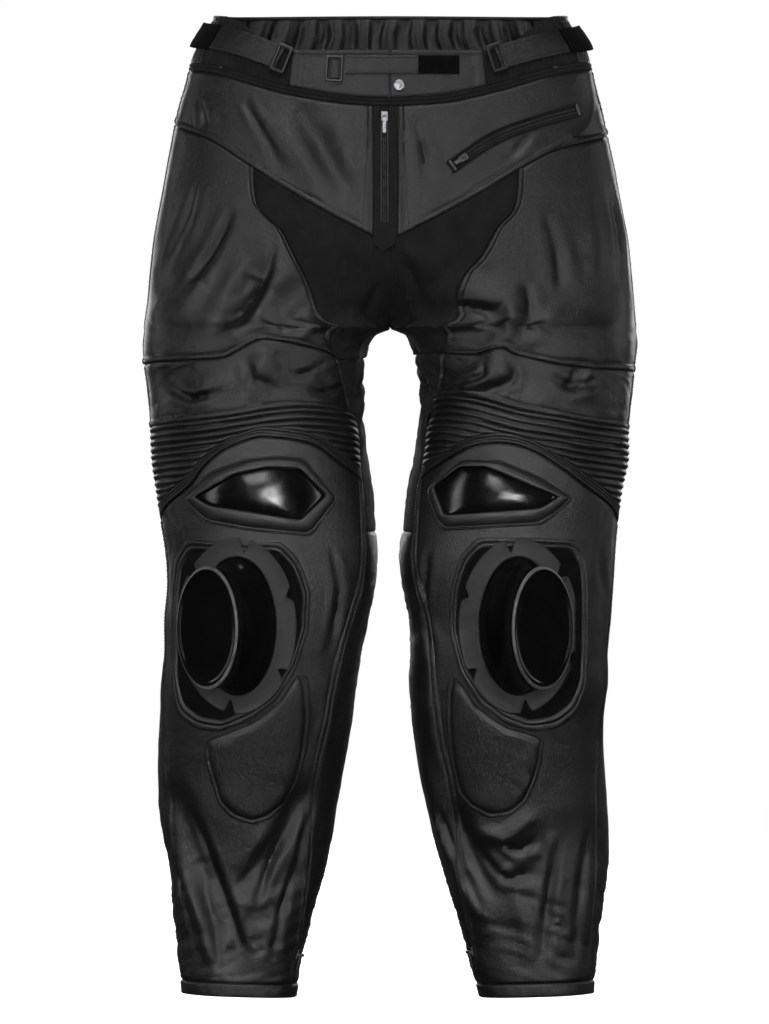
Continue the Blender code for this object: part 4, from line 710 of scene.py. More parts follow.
def cloth_wall(node, outer, inner, materials, smooth=40, weld=0.0):
    """A closed wall of cloth in place of the CAD node; points closer than weld are joined."""
    bm = bmesh.new()
    grid_wall(bm, outer, inner)
    if weld:
        bmesh.ops.remove_doubles(bm, verts=bm.verts[:], dist=weld)
    return new_piece(f"{node}_cloth", bm, materials, node, smooth)


STITCH_ROWS = []


def sew(points, normals, lift=0.1, pitch=3.5):
    """Note a row of stitches along the points."""
    STITCH_ROWS.append((points + normals * lift, normals, pitch))


def sew_round(points, normals):
    """Note a closed row of stitches."""
    sew(np.vstack([points, points[:1]]), np.vstack([normals, normals[:1]]), 0.05)


def shell(side, grid, edges, small_creases=1.0):
    """Outer and inner points of one panel with its creases and seam edges; notes its stitches."""
    point, normal = leg(side, grid[..., 0], grid[..., 1])
    from_left, from_right, from_bottom, from_top = border_distances(point)
    relief = crease_height(side, grid[..., 0], grid[..., 1]) * small_creases
    border = np.minimum.reduce([from_left, from_right, from_bottom, from_top])
    relief = relief * (0.35 + 0.65 * np.clip(border / 9, 0, 1))
    for letter, away, along in (("l", from_left, from_bottom), ("r", from_right, from_bottom),
                                ("b", from_bottom, from_left), ("t", from_top, from_left)):
        relief = relief + seam_relief(edges.get(letter), away, along)
    drawn = inset(point, normal, "btlr")
    outer = drawn + normal * relief[..., None]
    inner = outer - normal * WALL
    if np.min(np.abs(point[..., 0])) < 1:
        outer, inner = keep_off_middle(side, outer), keep_off_middle(side, inner)
    for letter, kind in edges.items():
        if kind == "lap":
            for row in (INNER_ROW, OUTER_ROW):
                line = grid_line(letter, row, 2)
                sew(outer[line], normal[line])
    return outer, inner


def mean_runs(side, seams):
    """Mean width and height of the space between four seams, along the leg without its folds."""
    lengths = []
    for curve in seams:
        points = bare_leg(side, curve[:, 0], curve[:, 1])
        lengths.append(float(np.linalg.norm(np.diff(points, axis=0), axis=1).sum()))
    return (lengths[0] + lengths[1]) / 2, (lengths[2] + lengths[3]) / 2


def cloth_panel(name, side, seams, edges, spacing=3.0, cloth="leather"):
    """One cloth panel of a leg, in place of its solid; seams are its bottom, top, left and right."""
    wide, tall = mean_runs(side, seams)
    grid = between(seams, stations(wide, spacing), stations(tall, spacing))
    outer, inner = shell(side, grid, edges, 1.0 if cloth == "leather" else 0.8)
    piece = cloth_wall(name, outer, inner, (cloth, "lining"))


def surface_area(points):
    """Area of a grid of points."""
    first = points[1:, :-1] - points[:-1, :-1]
    second = points[:-1, 1:] - points[:-1, :-1]
    third = points[1:, :-1] - points[1:, 1:]
    fourth = points[:-1, 1:] - points[1:, 1:]
    return float(0.5 * (np.linalg.norm(np.cross(first, second), axis=-1).sum()
                        + np.linalg.norm(np.cross(third, fourth), axis=-1).sum()))


RIB_PITCH = 7.0
RIB_HEIGHT = 3.0
RIB_RUN = 230         # length of the ribs over the front of the knee
ARCH_BAND = 10.0      # width of the fine ridges that follow the arch over the knee
ARCH_PITCH = 3.1      # distance between them


def knee_ribs(name, side, net):
    """Ribbed knee panel: level ribs below its top seam, cut off by a band of fine ridges on the arch."""
    columns = stations(RIB_RUN, 3.2)
    top, arch = at(net.rib_top, columns), at(net.arch, columns)
    arch[:, 1] += 0.3
    depth = top[:, 1] - arch[:, 1]
    upper = np.arange(0, float(np.max(depth)) - ARCH_BAND + 0.9, 0.9)
    lower = np.linspace(ARCH_BAND, 0, 25)
    down = np.vstack([np.minimum(upper[:, None], (depth - ARCH_BAND)[None, :]),
                      np.maximum(depth[None, :] - lower[1:, None], 0)])
    share = (down / depth)[..., None]
    grid = top[None] * (1 - share) + arch[None] * share
    left_over = depth[None, :] - down
    bend = 0.5 + 0.5 * mottle(41 + side, columns[None, :] * 9, down / 7)
    rib = np.abs(np.sin(math.pi * (down + 0.8 * bend) / RIB_PITCH)) ** 0.75
    rib = RIB_HEIGHT * rib * (0.86 + 0.14 * mottle(43, columns[None, :] * 12 + 0 * down, down / RIB_PITCH))
    fine = 1.1 * np.abs(np.sin(math.pi * left_over / ARCH_PITCH)) ** 0.8
    blend = np.clip((left_over - ARCH_BAND) / 2.5, 0, 1)
    edge = np.clip(np.minimum(columns, 1 - columns) * RIB_RUN / 9, 0, 1)[None, :]
    relief = (rib * blend + (1 - blend) * (fine + 0.5)) * (0.25 + 0.75 * edge)
    relief = relief - 0.9 * np.exp(-(down / 1.2) ** 2)
    relief = relief + 0.5 * mottle(47, columns[None, :] * 7 + 0 * down, down / 30)
    grid, relief = grid[::-1], relief[::-1]
    point, normal = leg(side, grid[..., 0], grid[..., 1])
    outer = point + normal * relief[..., None]
    piece = cloth_wall(name, outer, point - normal * WALL, ("leather", "lining"), smooth=70,
                       weld=0.02)


def crotch_panel(name):
    """One stretch panel for both legs, welded down the middle as far as the crotch."""
    bm = bmesh.new()
    for side, _ in SIDES:
        net = NETS[side]
        seams = (net.crotch_end, join(net.fly_end, net.yoke), join(net.crotch_middle, net.crotch_back),
                 net.crotch)
        across, up = stations(130, 2.6), stations(185, 2.6)
        across = np.concatenate([np.linspace(0, across[7], 4)[:-1], across[7:]])
        grid = between(seams, across, up)
        point, normal = leg(side, grid[..., 0], grid[..., 1])
        from_left, from_right, from_bottom, from_top = border_distances(point)
        relief = crease_height(side, grid[..., 0], grid[..., 1])
        relief = relief * np.clip(np.minimum(from_right, from_top) / 12, 0.2, 1)
        joined = grid[..., 1] > CROTCH
        relief = relief * np.where(joined, np.clip(from_left / 14, 0, 1), 1)
        for away, along in ((from_right, from_bottom), (from_top, from_left), (from_bottom, from_left)):
            relief = relief + seam_relief("tuck", away, along)
        drawn = inset(point, normal, "btr")
        below = int(np.sum(up < 2 / 9 - 1e-9))      # rows below the crotch, where the two halves part
        drawn[:below, 0] = inset(point, normal, "l")[:below, 0]
        relief = np.maximum(relief, -3.0)
        outer = drawn + normal * relief[..., None]
        inner = outer - normal * WALL
        for points in (outer, inner):
            points[..., 0] = side * np.maximum(side * points[..., 0], SEAM)
            points[below:, 0, 0] = 0.0
        grid_wall(bm, outer, inner)
    middle = [face for face in bm.faces if sum(abs(vert.co.x) < 0.01 for vert in face.verts) >= 3]
    bmesh.ops.delete(bm, geom=middle, context="FACES")
    bmesh.ops.remove_doubles(bm, verts=bm.verts[:], dist=0.05)
    open_edges = [edge for edge in bm.edges if len(edge.link_faces) == 1]
    bmesh.ops.holes_fill(bm, edges=open_edges, sides=8)
    piece = new_piece(f"{name}_cloth", bm, ("stretch", "lining"), name)


# How a panel's edges meet their neighbours: lapped over with stitches, or tucked under
LAPPED = {"b": "lap", "t": "tuck", "l": "lap", "r": "lap"}
TUCKED = dict.fromkeys("btlr", "tuck")


def leg_panels():
    """The cut pieces of both legs, from the waist to the hem."""
    for side, word in SIDES:
        net = NETS[side]
        cloth_panel(f"yoke_{word}", side,
                    (join(net.yoke, net.yoke_side), net.waist[FINE:], net.fly, net.outer_yoke), LAPPED)
        cloth_panel(f"thigh_front_{word}", side,
                    (net.thigh, net.yoke_side, net.crotch, net.outer_thigh), LAPPED, 2.7)
        cloth_panel(f"thigh_lower_{word}", side,
                    (net.rib_top, net.thigh, net.inner_top, net.outer_lower), LAPPED, 2.7)
        knee_ribs(f"knee_ribs_{word}", side, net)
        cloth_panel(f"shin_{word}", side,
                    (net.hem_front, net.arch, join(net.inner_knee, net.inner_shin),
                     join(net.outer_knee, net.outer_shin)),
                    {**LAPPED, "b": "tuck"}, 3.3)
        inner_front = join(net.inner_top, net.inner_ribs, net.inner_knee)
        cloth_panel(f"inner_thigh_{word}", side,
                    (net.inside_end - (1, 0), net.crotch_end, net.inside_back - (1, 0), inner_front),
                    TUCKED, 2.8, cloth="stretch")
        outer_back = join(net.outer_yoke, net.outer_thigh, net.outer_lower, net.outer_ribs, net.outer_knee)
        middle_back = join(net.middle_back, net.crotch_back + (1, 0), net.inside_back)
        cloth_panel(f"seat_{word}", side, (net.knee_back, net.waist_back, outer_back, middle_back),
                    {**LAPPED, "l": "tuck"}, 3.6)
        cloth_panel(f"calf_{word}", side,
                    (net.hem_back, join(net.knee_back, net.inside_end), net.outer_shin,
                     net.inner_shin + (1, 0)),
                    TUCKED, 3.6)
        hem_strip(f"hem_{word}", side, join(net.hem_front, net.hem_back))
    crotch_panel("crotch_panel")


HEM_ROWS = np.array([-14.0, -13.4, -12.4, -11.0, -9.0, -7.0, -5.0, -3.0, -1.6, -0.6, 0.0])
HEM_DEPTH = 14


def hem_strip(name, side, top):
    """Turned hem round the bottom of a leg, with two rows of stitches."""
    line = at(top, np.linspace(0, 1, 150))
    drops = HEM_ROWS
    grid = line[None, :, :] + np.stack([0 * drops, drops], axis=1)[:, None, :]
    point, normal = leg(side, grid[..., 0], grid[..., 1])
    along = run_lengths(point, 1)
    relief = (0.5 * mottle(51, along / 22, grid[..., 1] / 20)
              + 0.7 * np.exp(-((drops + 7) / 7.0) ** 4)[:, None])
    relief = relief - 0.8 * np.exp(-((drops + HEM_DEPTH) / 0.8) ** 2)[:, None]
    relief = relief - 0.9 * np.exp(-(drops / 0.8) ** 2)[:, None]
    relief = relief + 0.25 * np.sin(along / 2.4) * np.exp(-((drops + 5) / 4.0) ** 2)[:, None]
    drawn = inset(point, normal, "btlr")
    outer = drawn + normal * relief[..., None]
    piece = cloth_wall(name, outer, outer - normal * WALL, ("leather", "lining"))
    for row in (2, 7):
        sew(outer[row, 2:-2], normal[row, 2:-2])


BINDING = 8.0                      # height of the binding under the waistband
BAND_TOP = 40.0                    # height of the top of the front band and of the back band's ends
BACK_TOP = 78.0
GATHER = 2.5                       # height of the back band's gathers
FRONT_END, GUSSET_END = 6, 12      # waist columns where the front band and the side gusset end
BACK_COLUMNS = 421                 # points along the gathered back band


def ring_surface(sides, u, z):
    """Folded surface where a piece runs over both legs; sides holds -1 or 1 for each point."""
    left, left_normal = leg(-1, u, z)
    right, right_normal = leg(1, u, z)
    choose = (sides < 0)[..., None]
    return np.where(choose, left, right), np.where(choose, left_normal, right_normal)


def ring_cloth(node, sides, grid, relief, materials, edges="btlr", lift=0.0, wall=WALL, both=False,
               stitched=(), flat=None):
    """A piece across the middle or round the waist, from its sides, (u, z) grid and relief.

    With both, the relief shows on the inside too.
    """
    point, normal = ring_surface(sides, grid[..., 0], grid[..., 1])
    point = inset(point, normal, edges) + normal * (lift + (wall if lift else 0.0))
    outer = point + normal * relief[..., None]
    inner = (outer if both else point) - normal * wall
    piece = cloth_wall(node, outer, inner, materials)
    for row in stitched:
        sew(outer[row, 1:-1], normal[row, 1:-1])
    wide = float(run_lengths(point, 1)[0, -1])
    tall = float(run_lengths(point, 0)[-1, 0])
    area = surface_area(outer)
    if flat is None:
        flat = (wide, max(tall, area / wide, 10.2))


def upright_grid(line, top, rise):
    """(u, z) grid that rises from a line of the waist to the height top, at the shares rise of the way."""
    return np.stack([line[None, :, 0] + 0 * rise, line[None, :, 1] * (1 - rise) + top * rise], axis=-1)


def waist_pieces():
    """Binding round the waist, two front bands that meet at the middle, side gussets and the back band."""
    lines = {side: join(NETS[side].waist, NETS[side].waist_back) for side, _ in SIDES}
    last = len(lines[-1]) - 1
    ring = [(-1, index) for index in range(0, last + 1, 2)]
    ring += [(1, index) for index in range(last - 2, -1, -2)]
    sides = np.array([side for side, index in ring])
    low = np.array([lines[side][index] for side, index in ring])
    share = np.linspace(0, 1, 13)
    heights = share * BINDING
    grid = low[None] + np.stack([0 * heights, heights], axis=1)[:, None, :]
    ridges = 0.9 * np.abs(np.sin(math.pi * share * 2)) ** 0.7 - 0.4
    relief = ridges[:, None] + 0 * grid[..., 0]
    ring_cloth("waist_binding", np.stack([sides] * 13), grid, relief, ("stretch", "lining"), edges="bt")
    for side, word in SIDES:
        front_band(side, word, lines[side] + (0, BINDING))
        side_gusset(side, word, lines[side] + (0, BINDING))
    back_band(lines)


def front_band(side, word, line):
    """Front half of the waistband, with a turned top edge and stitches along both edges."""
    columns = stations(95, 3.0)
    front = at(line[:FRONT_END * FINE + 1], columns)
    tall = upright_grid(front, BAND_TOP, stations(50, 3.0)[:, None])
    point, _ = leg(side, tall[..., 0], tall[..., 1])
    along, from_end, away, from_top = border_distances(point)
    relief = 0.5 * mottle(61 + side, along / 30, away / 26) + 0.25 * mottle(63, along / 11, away / 9)
    relief = relief + 0.5 * np.exp(-((from_top - 2.6) / 2.2) ** 2) - 0.9 * np.exp(-(from_top / 0.8) ** 2)
    relief = relief - 1.1 * np.exp(-(away / 1.4) ** 2) - 0.9 * np.exp(-(from_end / 1.0) ** 2)
    relief = relief + 0.8 / (1 + np.exp(np.clip((from_end - 9.0) / 0.4, -40, 40)))
    relief = relief - 0.5 * np.exp(-((from_end - 10.0) / 0.9) ** 2) - 0.8 * np.exp(-(along / 0.9) ** 2)
    ring_cloth(f"waistband_front_{word}", np.full(tall.shape[:2], side), tall, relief, ("leather", "lining"),
               edges="btr", stitched=(3, -5))


def side_gusset(side, word, line):
    """Elastic stretch piece at the side of the waist, with upright gathers."""
    columns = np.linspace(0, 1, 110)
    run = at(line[FRONT_END * FINE:GUSSET_END * FINE + 1], columns)
    top = BAND_TOP + (BACK_TOP - BAND_TOP) * (3 * columns**2 - 2 * columns**3)
    rise = np.linspace(0, 1, 26)[:, None]
    tall = upright_grid(run, top, rise)
    point, _ = leg(side, tall[..., 0], tall[..., 1])
    along, _, away, from_top = border_distances(point)
    gather = np.sin(2 * math.pi * (along + 1.5 * mottle(71, along / 15, away / 12)) / 6.4)
    relief = 0.75 * gather * np.sin(math.pi * rise) ** 0.4 - 0.9 * np.exp(-(away / 1.4) ** 2)
    relief = relief - 0.7 * np.exp(-(from_top / 1.2) ** 2)
    ring_cloth(f"waist_gusset_{word}", np.full(tall.shape[:2], side), tall, relief, ("stretch", "stretch"),
               both=True)


def back_band(lines):
    """Elastic back of the waistband: upright gathers that show on both its faces, and a bound top edge."""
    start = GUSSET_END * FINE
    last = len(lines[-1]) - 1
    back = [(-1, index) for index in range(start, last + 1)]
    back += [(1, index) for index in range(last - 1, start - 1, -1)]
    points = np.array([lines[side][index] for side, index in back]) + (0, BINDING + 0.25)
    fine = np.linspace(0, len(back) - 1, BACK_COLUMNS)
    sides = np.where(fine <= (len(back) - 1) / 2, -1, 1)
    line = np.stack([np.interp(fine, range(len(back)), points[:, k]) for k in (0, 1)], axis=1)
    top = BACK_TOP + 7 * np.sin(math.pi * fine / fine[-1])
    rise = np.concatenate([np.linspace(0, 0.9, 16), np.linspace(0.915, 1, 9)])[:, None]
    tall = upright_grid(line, top, rise)
    column = fine / FINE * 2
    wander = 0.35 * mottle(81, column[None, :] / 2.2 + 0 * rise, rise * 2.2)
    gather = np.clip(np.cos(math.pi * (column[None, :] - 9 + wander)), -0.4, 1)
    inside = np.clip(np.minimum(column - 7.5, column[-1] - 7.5 - column) / 1.5, 0, 1)[None, :]
    body = np.clip(np.sin(math.pi * np.clip(rise / 0.93, 0, 1)), 0, 1) ** 0.5
    fold = 0.55 * np.cos(math.pi * 2.9 * column[None, :] + 3 * wander) * body
    relief = GATHER * gather * inside * body + fold
    relief = (relief + 1.0 * np.exp(-((rise - 0.965) / 0.03) ** 2)
              - 0.8 * np.exp(-((rise - 0.925) / 0.008) ** 2))
    ring_cloth("waistband_back", np.stack([sides] * len(rise)), tall, relief, ("leather", "leather"),
               both=True, stitched=(14,))


def strap_grid(side, path, half, columns, rows):
    """(u, z) grid of a strap round the waist, across its width and along its middle line."""
    around = float(girth_at(side, 50.0))
    path = spline(path, columns)
    along = unit(np.gradient(path * (around, 1), axis=0))
    offsets = (half * rows)[:, None]
    return np.stack([path[None, :, 0] - along[None, :, 1] * offsets / around,
                     path[None, :, 1] + along[None, :, 0] * offsets], axis=-1)


STRAPS = {
    # side: (x, z) along the leather, (u, z) of the pile's end, half widths
    -1: (((113, 32), (148, 46), (178, 55)), (0.49, 57), (11.5, 12.5)),
    1: (((111, 32), (148, 43), (178, 51)), (0.49, 54), (11.5, 12.0)),
}
STRAP_ROWS = np.array([-1, -0.93, -0.84, -0.72, -0.5, -0.25, 0, 0.25, 0.5, 0.72, 0.84, 0.93, 1])
STITCHED_ROWS = (3, 9)
FROM_MIDDLE = np.abs(STRAP_ROWS)


def crown(height, groove):
    """Rise across a strap, with a groove under both rows of stitches."""
    return (height * (1 - FROM_MIDDLE ** 8) - groove * np.exp(-((FROM_MIDDLE - 0.72) / 0.07) ** 2))[:, None]


def tufts(seed, grid):
    return 0.35 * mottle(seed, grid[..., 0] * 420, grid[..., 1] / 1.2)


def strap_wall(side, node, grid, lift, rise, thick, cloth):
    """Wall of a strap at a lift over the leg, which grows by the rise to its end.

    It returns the piece, its outer points and outward directions, and the area that it covers.
    """
    point, normal = leg(side, grid[..., 0], grid[..., 1])
    height = lift + rise * np.linspace(0, 1, grid.shape[1])[None, :] ** 2
    inner = point + normal * height[..., None]
    outer = inner + normal * thick[..., None]
    return cloth_wall(node, outer, inner, (cloth, cloth)), outer, normal, surface_area(point)


def side_strap(side, word):
    """Leather side strap with stitched edges, and the pile end that it sticks down with."""
    leather, end, (half, pile_half) = STRAPS[side]
    path = on_leg(side, leather)
    grid = strap_grid(side, path, half, 44, STRAP_ROWS)
    wave = 0.25 * mottle(91 + side, grid[..., 0] * 60, grid[..., 1] / 14)
    thick = 1.1 + crown(0.5, 0.25) + wave
    piece, outer, normal, _ = strap_wall(side, f"side_strap_{word}", grid, 1.0, 0.2, thick, "leather")
    for row in STITCHED_ROWS:
        sew(outer[row, 1:-1], normal[row, 1:-1])
    start = (path[-1][0] + 0.007, path[-1][1] + 0.3)
    middle = ((start[0] + end[0]) / 2, (start[1] + end[1]) / 2)
    grid = strap_grid(side, (start, middle, end), pile_half, 30, STRAP_ROWS)
    thick = 1.5 + 0.3 * (1 - FROM_MIDDLE ** 6)[:, None] + tufts(95, grid)
    piece, _, _, area = strap_wall(side, f"side_strap_pile_{word}", grid, 0.9, 5.1, thick, "pile")


def across_grid(xs, zs):
    """Sides and (u, z) grid of a level patch of the front."""
    sides = np.array([[-1 if x < 0 else 1 for x in xs]] * len(zs))
    return sides, np.array([[(front_turn(x, z), z) for x in xs] for z in zs])


def belt():
    """Strap that closes the front of the waist, its pile end and the loop that its ring hangs in."""
    heights = 24.5 + 9.5 * STRAP_ROWS
    swell = crown(0.45, 0.22)
    sides, grid = across_grid(np.linspace(-46, 28.7, 48), heights)
    wave = 0.3 * mottle(97, grid[..., 0] * 90, grid[..., 1] / 16)
    ring_cloth("belt_strap", sides, grid, swell + wave, ("leather", "leather"), edges="", lift=1.0, wall=1.3,
               stitched=STITCHED_ROWS)
    sides, grid = across_grid(np.linspace(29, 71, 56), heights)
    ring_cloth("belt_pile", sides, grid, tufts(99, grid) + swell, ("pile", "pile"), edges="", lift=LIFT,
               wall=1.2)
    sides, grid = across_grid(np.linspace(-62.4, -51.6, 13), 20 + 10 * STRAP_ROWS)
    relief = 0.9 * np.sin(math.pi * np.linspace(0, 1, 13))[None, :] + swell
    ring_cloth("belt_keeper", sides, grid, relief, ("leather", "leather"), edges="", lift=LIFT, wall=1.4)


def frame_at(side, u, z):
    """Point of the surface with its axes: across, along and outward, for pieces that point down the leg."""
    point, normal = leg(side, np.array(u), np.array(z))
    ahead, _ = leg(side, np.array(u), np.array(z - 4))
    along = unit(ahead - point)
    along = unit(along - normal * np.dot(along, normal))
    return point, np.cross(along, normal), along, normal


def place_in(bm, point, across, along, normal):
    """Move a mesh modelled with X across, Y along and Z outward to its place."""
    turn = Matrix([(across[k], along[k], normal[k]) for k in range(3)]).to_4x4()
    bmesh.ops.transform(bm, matrix=Matrix.Translation(Vector(point)) @ turn, verts=bm.verts[:])


BUCKLE_THICK = 2.6
BUCKLE_LIFT = 3.4


def buckle(name, side, x, z, outer, bar, lean):
    """Moulded rectangular ring with rounded corners and edges; lean turns it in the plane of the cloth."""
    bm = bmesh.new()
    bmesh.ops.create_grid(bm, x_segments=3, y_segments=3, size=1)
    xs, ys = ((-span / 2, -span / 2 + bar, span / 2 - bar, span / 2) for span in outer)
    for vert in bm.verts:
        column, row = int(round((vert.co.x + 1) * 1.5)), int(round((vert.co.y + 1) * 1.5))
        vert.co = Vector((xs[column], ys[row], 0))
    centre = [face for face in bm.faces if face.calc_center_median().length < 0.1]
    bmesh.ops.delete(bm, geom=centre, context="FACES")
    extruded = bmesh.ops.extrude_face_region(bm, geom=bm.faces[:])["geom"]
    raised = [item for item in extruded if isinstance(item, bmesh.types.BMVert)]
    bmesh.ops.translate(bm, vec=(0, 0, BUCKLE_THICK), verts=raised)
    corners = [edge for edge in bm.edges
               if abs(edge.verts[0].co.z - edge.verts[1].co.z) > 1 and edge.calc_face_angle() > 1]
    bmesh.ops.bevel(bm, geom=corners, offset=1.6, segments=4, affect="EDGES", profile=0.5, material=-1)
    bmesh.ops.recalc_face_normals(bm, faces=bm.faces[:])
    rims = [edge for edge in bm.edges if len(edge.link_faces) == 2 and edge.calc_face_angle() > 1.2]
    bmesh.ops.bevel(bm, geom=rims, offset=0.7, segments=3, affect="EDGES", profile=0.5, material=-1)
    point, across, along, normal = frame_at(side, turn_at(side, x, z), z)
    turned = along * math.cos(lean) + across * math.sin(lean)
    place_in(bm, point + normal * BUCKLE_LIFT, np.cross(turned, normal), turned, normal)
    new_piece(f"{name}_ring", bm, ("plastic",), name)


# Radius and height
SNAP_PROFILE = ((0, 0), (5.0, 0), (5.9, 0.3), (6.25, 0.9), (6.1, 1.6), (5.5, 2.1), (4.9, 2.2), (4.5, 1.95),
                (4.2, 1.9), (2.4, 2.3), (0, 2.45))
SNAP_PLACE = (9.3, 3.1)


def snap_cap():
    """Domed cap of the snap under the belt, with a rolled rim."""
    bm = bmesh.new()
    verts = [bm.verts.new((radius, 0, height)) for radius, height in SNAP_PROFILE]
    edges = [bm.edges.new(pair) for pair in zip(verts, verts[1:])]
    bmesh.ops.spin(bm, geom=verts + edges, axis=(0, 0, 1), cent=(0, 0, 0), angle=2 * math.pi, steps=48,
                   use_merge=True)
    bmesh.ops.remove_doubles(bm, verts=bm.verts[:], dist=0.001)
    point, across, along, normal = frame_at(1, turn_at(1, *SNAP_PLACE), SNAP_PLACE[1])
    place_in(bm, point + normal * 0.5, across, along, normal)
    new_piece("snap_cap", bm, ("steel",), "snap")


def even_loop(points, count, radius=0.0):
    """A closed outline at evenly spaced places, its corners rounded off."""
    points = np.array(points, dtype=float)
    closed = np.vstack([points, points[:1]])
    length = np.concatenate([[0], np.cumsum(np.linalg.norm(np.diff(closed, axis=0), axis=1))])
    where = np.linspace(0, length[-1], count, endpoint=False)
    loop = np.stack([np.interp(where, length, closed[:, k]) for k in (0, 1)], axis=1)
    reach = int(radius / (length[-1] / count))
    if reach:
        weights = np.array([1 + math.cos(math.pi * k / (reach + 1)) for k in range(-reach, reach + 1)])
        weights /= weights.sum()
        shifts = range(-reach, reach + 1)
        loop = sum(weight * np.roll(loop, shift, axis=0) for weight, shift in zip(weights, shifts))
    return loop


def polar_loop(points, centre, count, radius=5.0):
    """Points of a rounded closed outline at even angles about its centre."""
    outline = even_loop(points, 360, radius) - centre
    angles = np.unwrap(np.arctan2(outline[:, 1], outline[:, 0]))
    if angles[-1] < angles[0]:
        outline, angles = outline[::-1], angles[::-1]
    reach = np.linalg.norm(outline, axis=1)
    turn = 2 * math.pi
    angles, reach = np.concatenate([angles - turn, angles, angles + turn]), np.tile(reach, 3)
    order = np.argsort(angles)
    wanted = np.arange(count) * turn / count
    wanted = wanted + turn * np.round((angles.mean() - wanted) / turn)
    found = np.interp(wanted, angles[order], reach[order])
    return np.array(centre) + found[:, None] * np.stack([np.cos(wanted), np.sin(wanted)], axis=1)


def oval(centre, half, count, notches=()):
    """Ellipse in the front view; notches are (degrees, half width in degrees, depth)."""
    degrees = np.arange(count) * 360.0 / count
    scale = np.ones(count)
    for place, wide, depth in notches:
        away = np.abs((degrees - place + 180) % 360 - 180)
        scale -= depth * np.clip(1.25 * (1 - away / wide), 0, 1)
    angle = np.radians(degrees)
    return np.stack([centre[0] + half[0] * scale * np.cos(angle),
                     centre[1] + half[1] * scale * np.sin(angle)], axis=1)


def ring_wall(bm, loops, close=False):
    """Quads between loops of points, with the last loop joined to the first, or else both ends capped."""
    rings = [[bm.verts.new(point) for point in loop] for loop in loops]
    pairs = list(zip(rings, rings[1:])) + ([(rings[-1], rings[0])] if close else [])
    for first, second in pairs:
        edges = []
        for ring in (first, second):
            for a, b in zip(ring, ring[1:] + ring[:1]):
                edges.append(bm.edges.get((a, b)) or bm.edges.new((a, b)))
        bmesh.ops.bridge_loops(bm, edges=edges)
    if not close:
        for ring in (rings[0], rings[-1]):
            middle = bm.verts.new(sum((vert.co for vert in ring), Vector()) / len(ring))
            for a, b in zip(ring, ring[1:] + ring[:1]):
                bm.faces.new((a, b, middle))


def lifted(side, loop, height):
    """Points and outward directions of an outline raised above the leg."""
    flat = to_leg(side, loop)
    point, normal = leg(side, flat[:, 0], flat[:, 1])
    return point + normal * (np.zeros(len(loop)) + height)[:, None], normal


def collar(name, node, side, outside, hole, profile, lift, material):
    """Ring that lies on the leg: profile is (share of the way from the outside to the hole, height)."""
    stack = []
    for share, height in profile:
        stack.append(lifted(side, outside * (1 - share) + hole * share, lift + height)[0])
    for loop in (hole, outside):
        stack.append(lifted(side, loop, lift)[0])
    bm = bmesh.new()
    ring_wall(bm, stack, close=True)
    new_piece(name, bm, (material,), node, smooth=50)


def mound(name, node, side, outline, centre, profile, lift, material, peak, stitched=None, wave=0.0, seed=0,
          field=None, rim=None):
    """Pad that lies on the leg: profile is (size, height) from its outside in, over a flat underside.

    stitched is the size of a row of stitches, field the size and material of an inner cloth, and rim narrows
    the border at each point of the outline.
    """
    rim = np.ones(len(outline)) if rim is None else rim

    def grown(size):
        border = rim if size > 0.85 else 0.5 + 0.5 * rim
        return centre + (outline - centre) * (1 - (1 - size) * border)[:, None]

    stack = [lifted(side, grown(size), lift)[0] for size in (0.3, 0.7, 1.0)]
    for size, height in profile:
        loop = grown(size)
        uneven = wave * mottle(seed, loop[:, 0] / 13, loop[:, 1] / 13) * (0.3 if size > 0.97 else 1.0)
        points, normal = lifted(side, loop, lift + height + uneven)
        stack.append(points)
        if size == stitched:
            sew_round(points, normal)
    bm = bmesh.new()
    ring_wall(bm, stack)
    bm.verts.ensure_lookup_table()
    bm.verts[-1].co = lifted(side, centre[None], lift + peak)[0][0]
    bm.verts[-2].co = lifted(side, centre[None], lift)[0][0]
    if field:
        bm.faces.ensure_lookup_table()
        border = len(outline) * (2 + sum(size >= field[0] for size, _ in profile))
        for face in bm.faces[border:]:
            face.material_index = 1
    return new_piece(name, bm, (material, field[1]) if field else (material,), node, smooth=50)


KNEES = {
    -1: SimpleNamespace(
        plate=((54, -422), (81, -460), (145, -454), (192, -445), (211, -420), (184, -393), (144, -379),
               (113, -377), (89, -379)),
        insert=((68, -418), (93, -443), (182, -428), (197, -419), (158, -396), (126, -389), (94, -391)),
        plate_centre=(130, -416),
        base=((111, -465), (93, -484), (82, -515), (84, -556), (97, -597), (117, -628), (142, -647),
              (175, -661), (200, -657), (218, -643), (224, -618), (225, -566), (223, -515), (219, -482),
              (208, -463), (165, -466)),
        guard=((190, -669), (191, -685), (185, -707), (177, -735), (163, -750), (142, -757), (124, -751),
               (107, -737), (95, -713), (86, -678), (82, -640), (84, -604), (95, -601), (115, -631),
               (140, -650), (174, -664)),
        guard_centre=(140, -700),
        ring=(156, -551),
        face=(188, -110, -553)),
    1: SimpleNamespace(
        plate=((39, -413), (52, -454), (92, -452), (157, -448), (187, -421), (152, -397), (112, -381),
               (75, -381)),
        insert=((49, -410), (59, -438), (152, -431), (171, -419), (100, -389), (75, -389)),
        plate_centre=(108, -416),
        base=((89, -461), (72, -480), (62, -515), (61, -556), (72, -599), (91, -630), (118, -651),
              (144, -660), (171, -657), (192, -641), (202, -616), (204, -566), (204, -515), (202, -482),
              (190, -463), (144, -461)),
        guard=((59, -606), (58, -640), (60, -670), (64, -696), (71, -725), (82, -739), (103, -750),
               (124, -747), (140, -734), (150, -712), (156, -690), (158, -668), (146, -663), (117, -654),
               (88, -633), (69, -603)),
        guard_centre=(110, -700),
        ring=(131, -551),
        face=(157, -122, -553)),
}
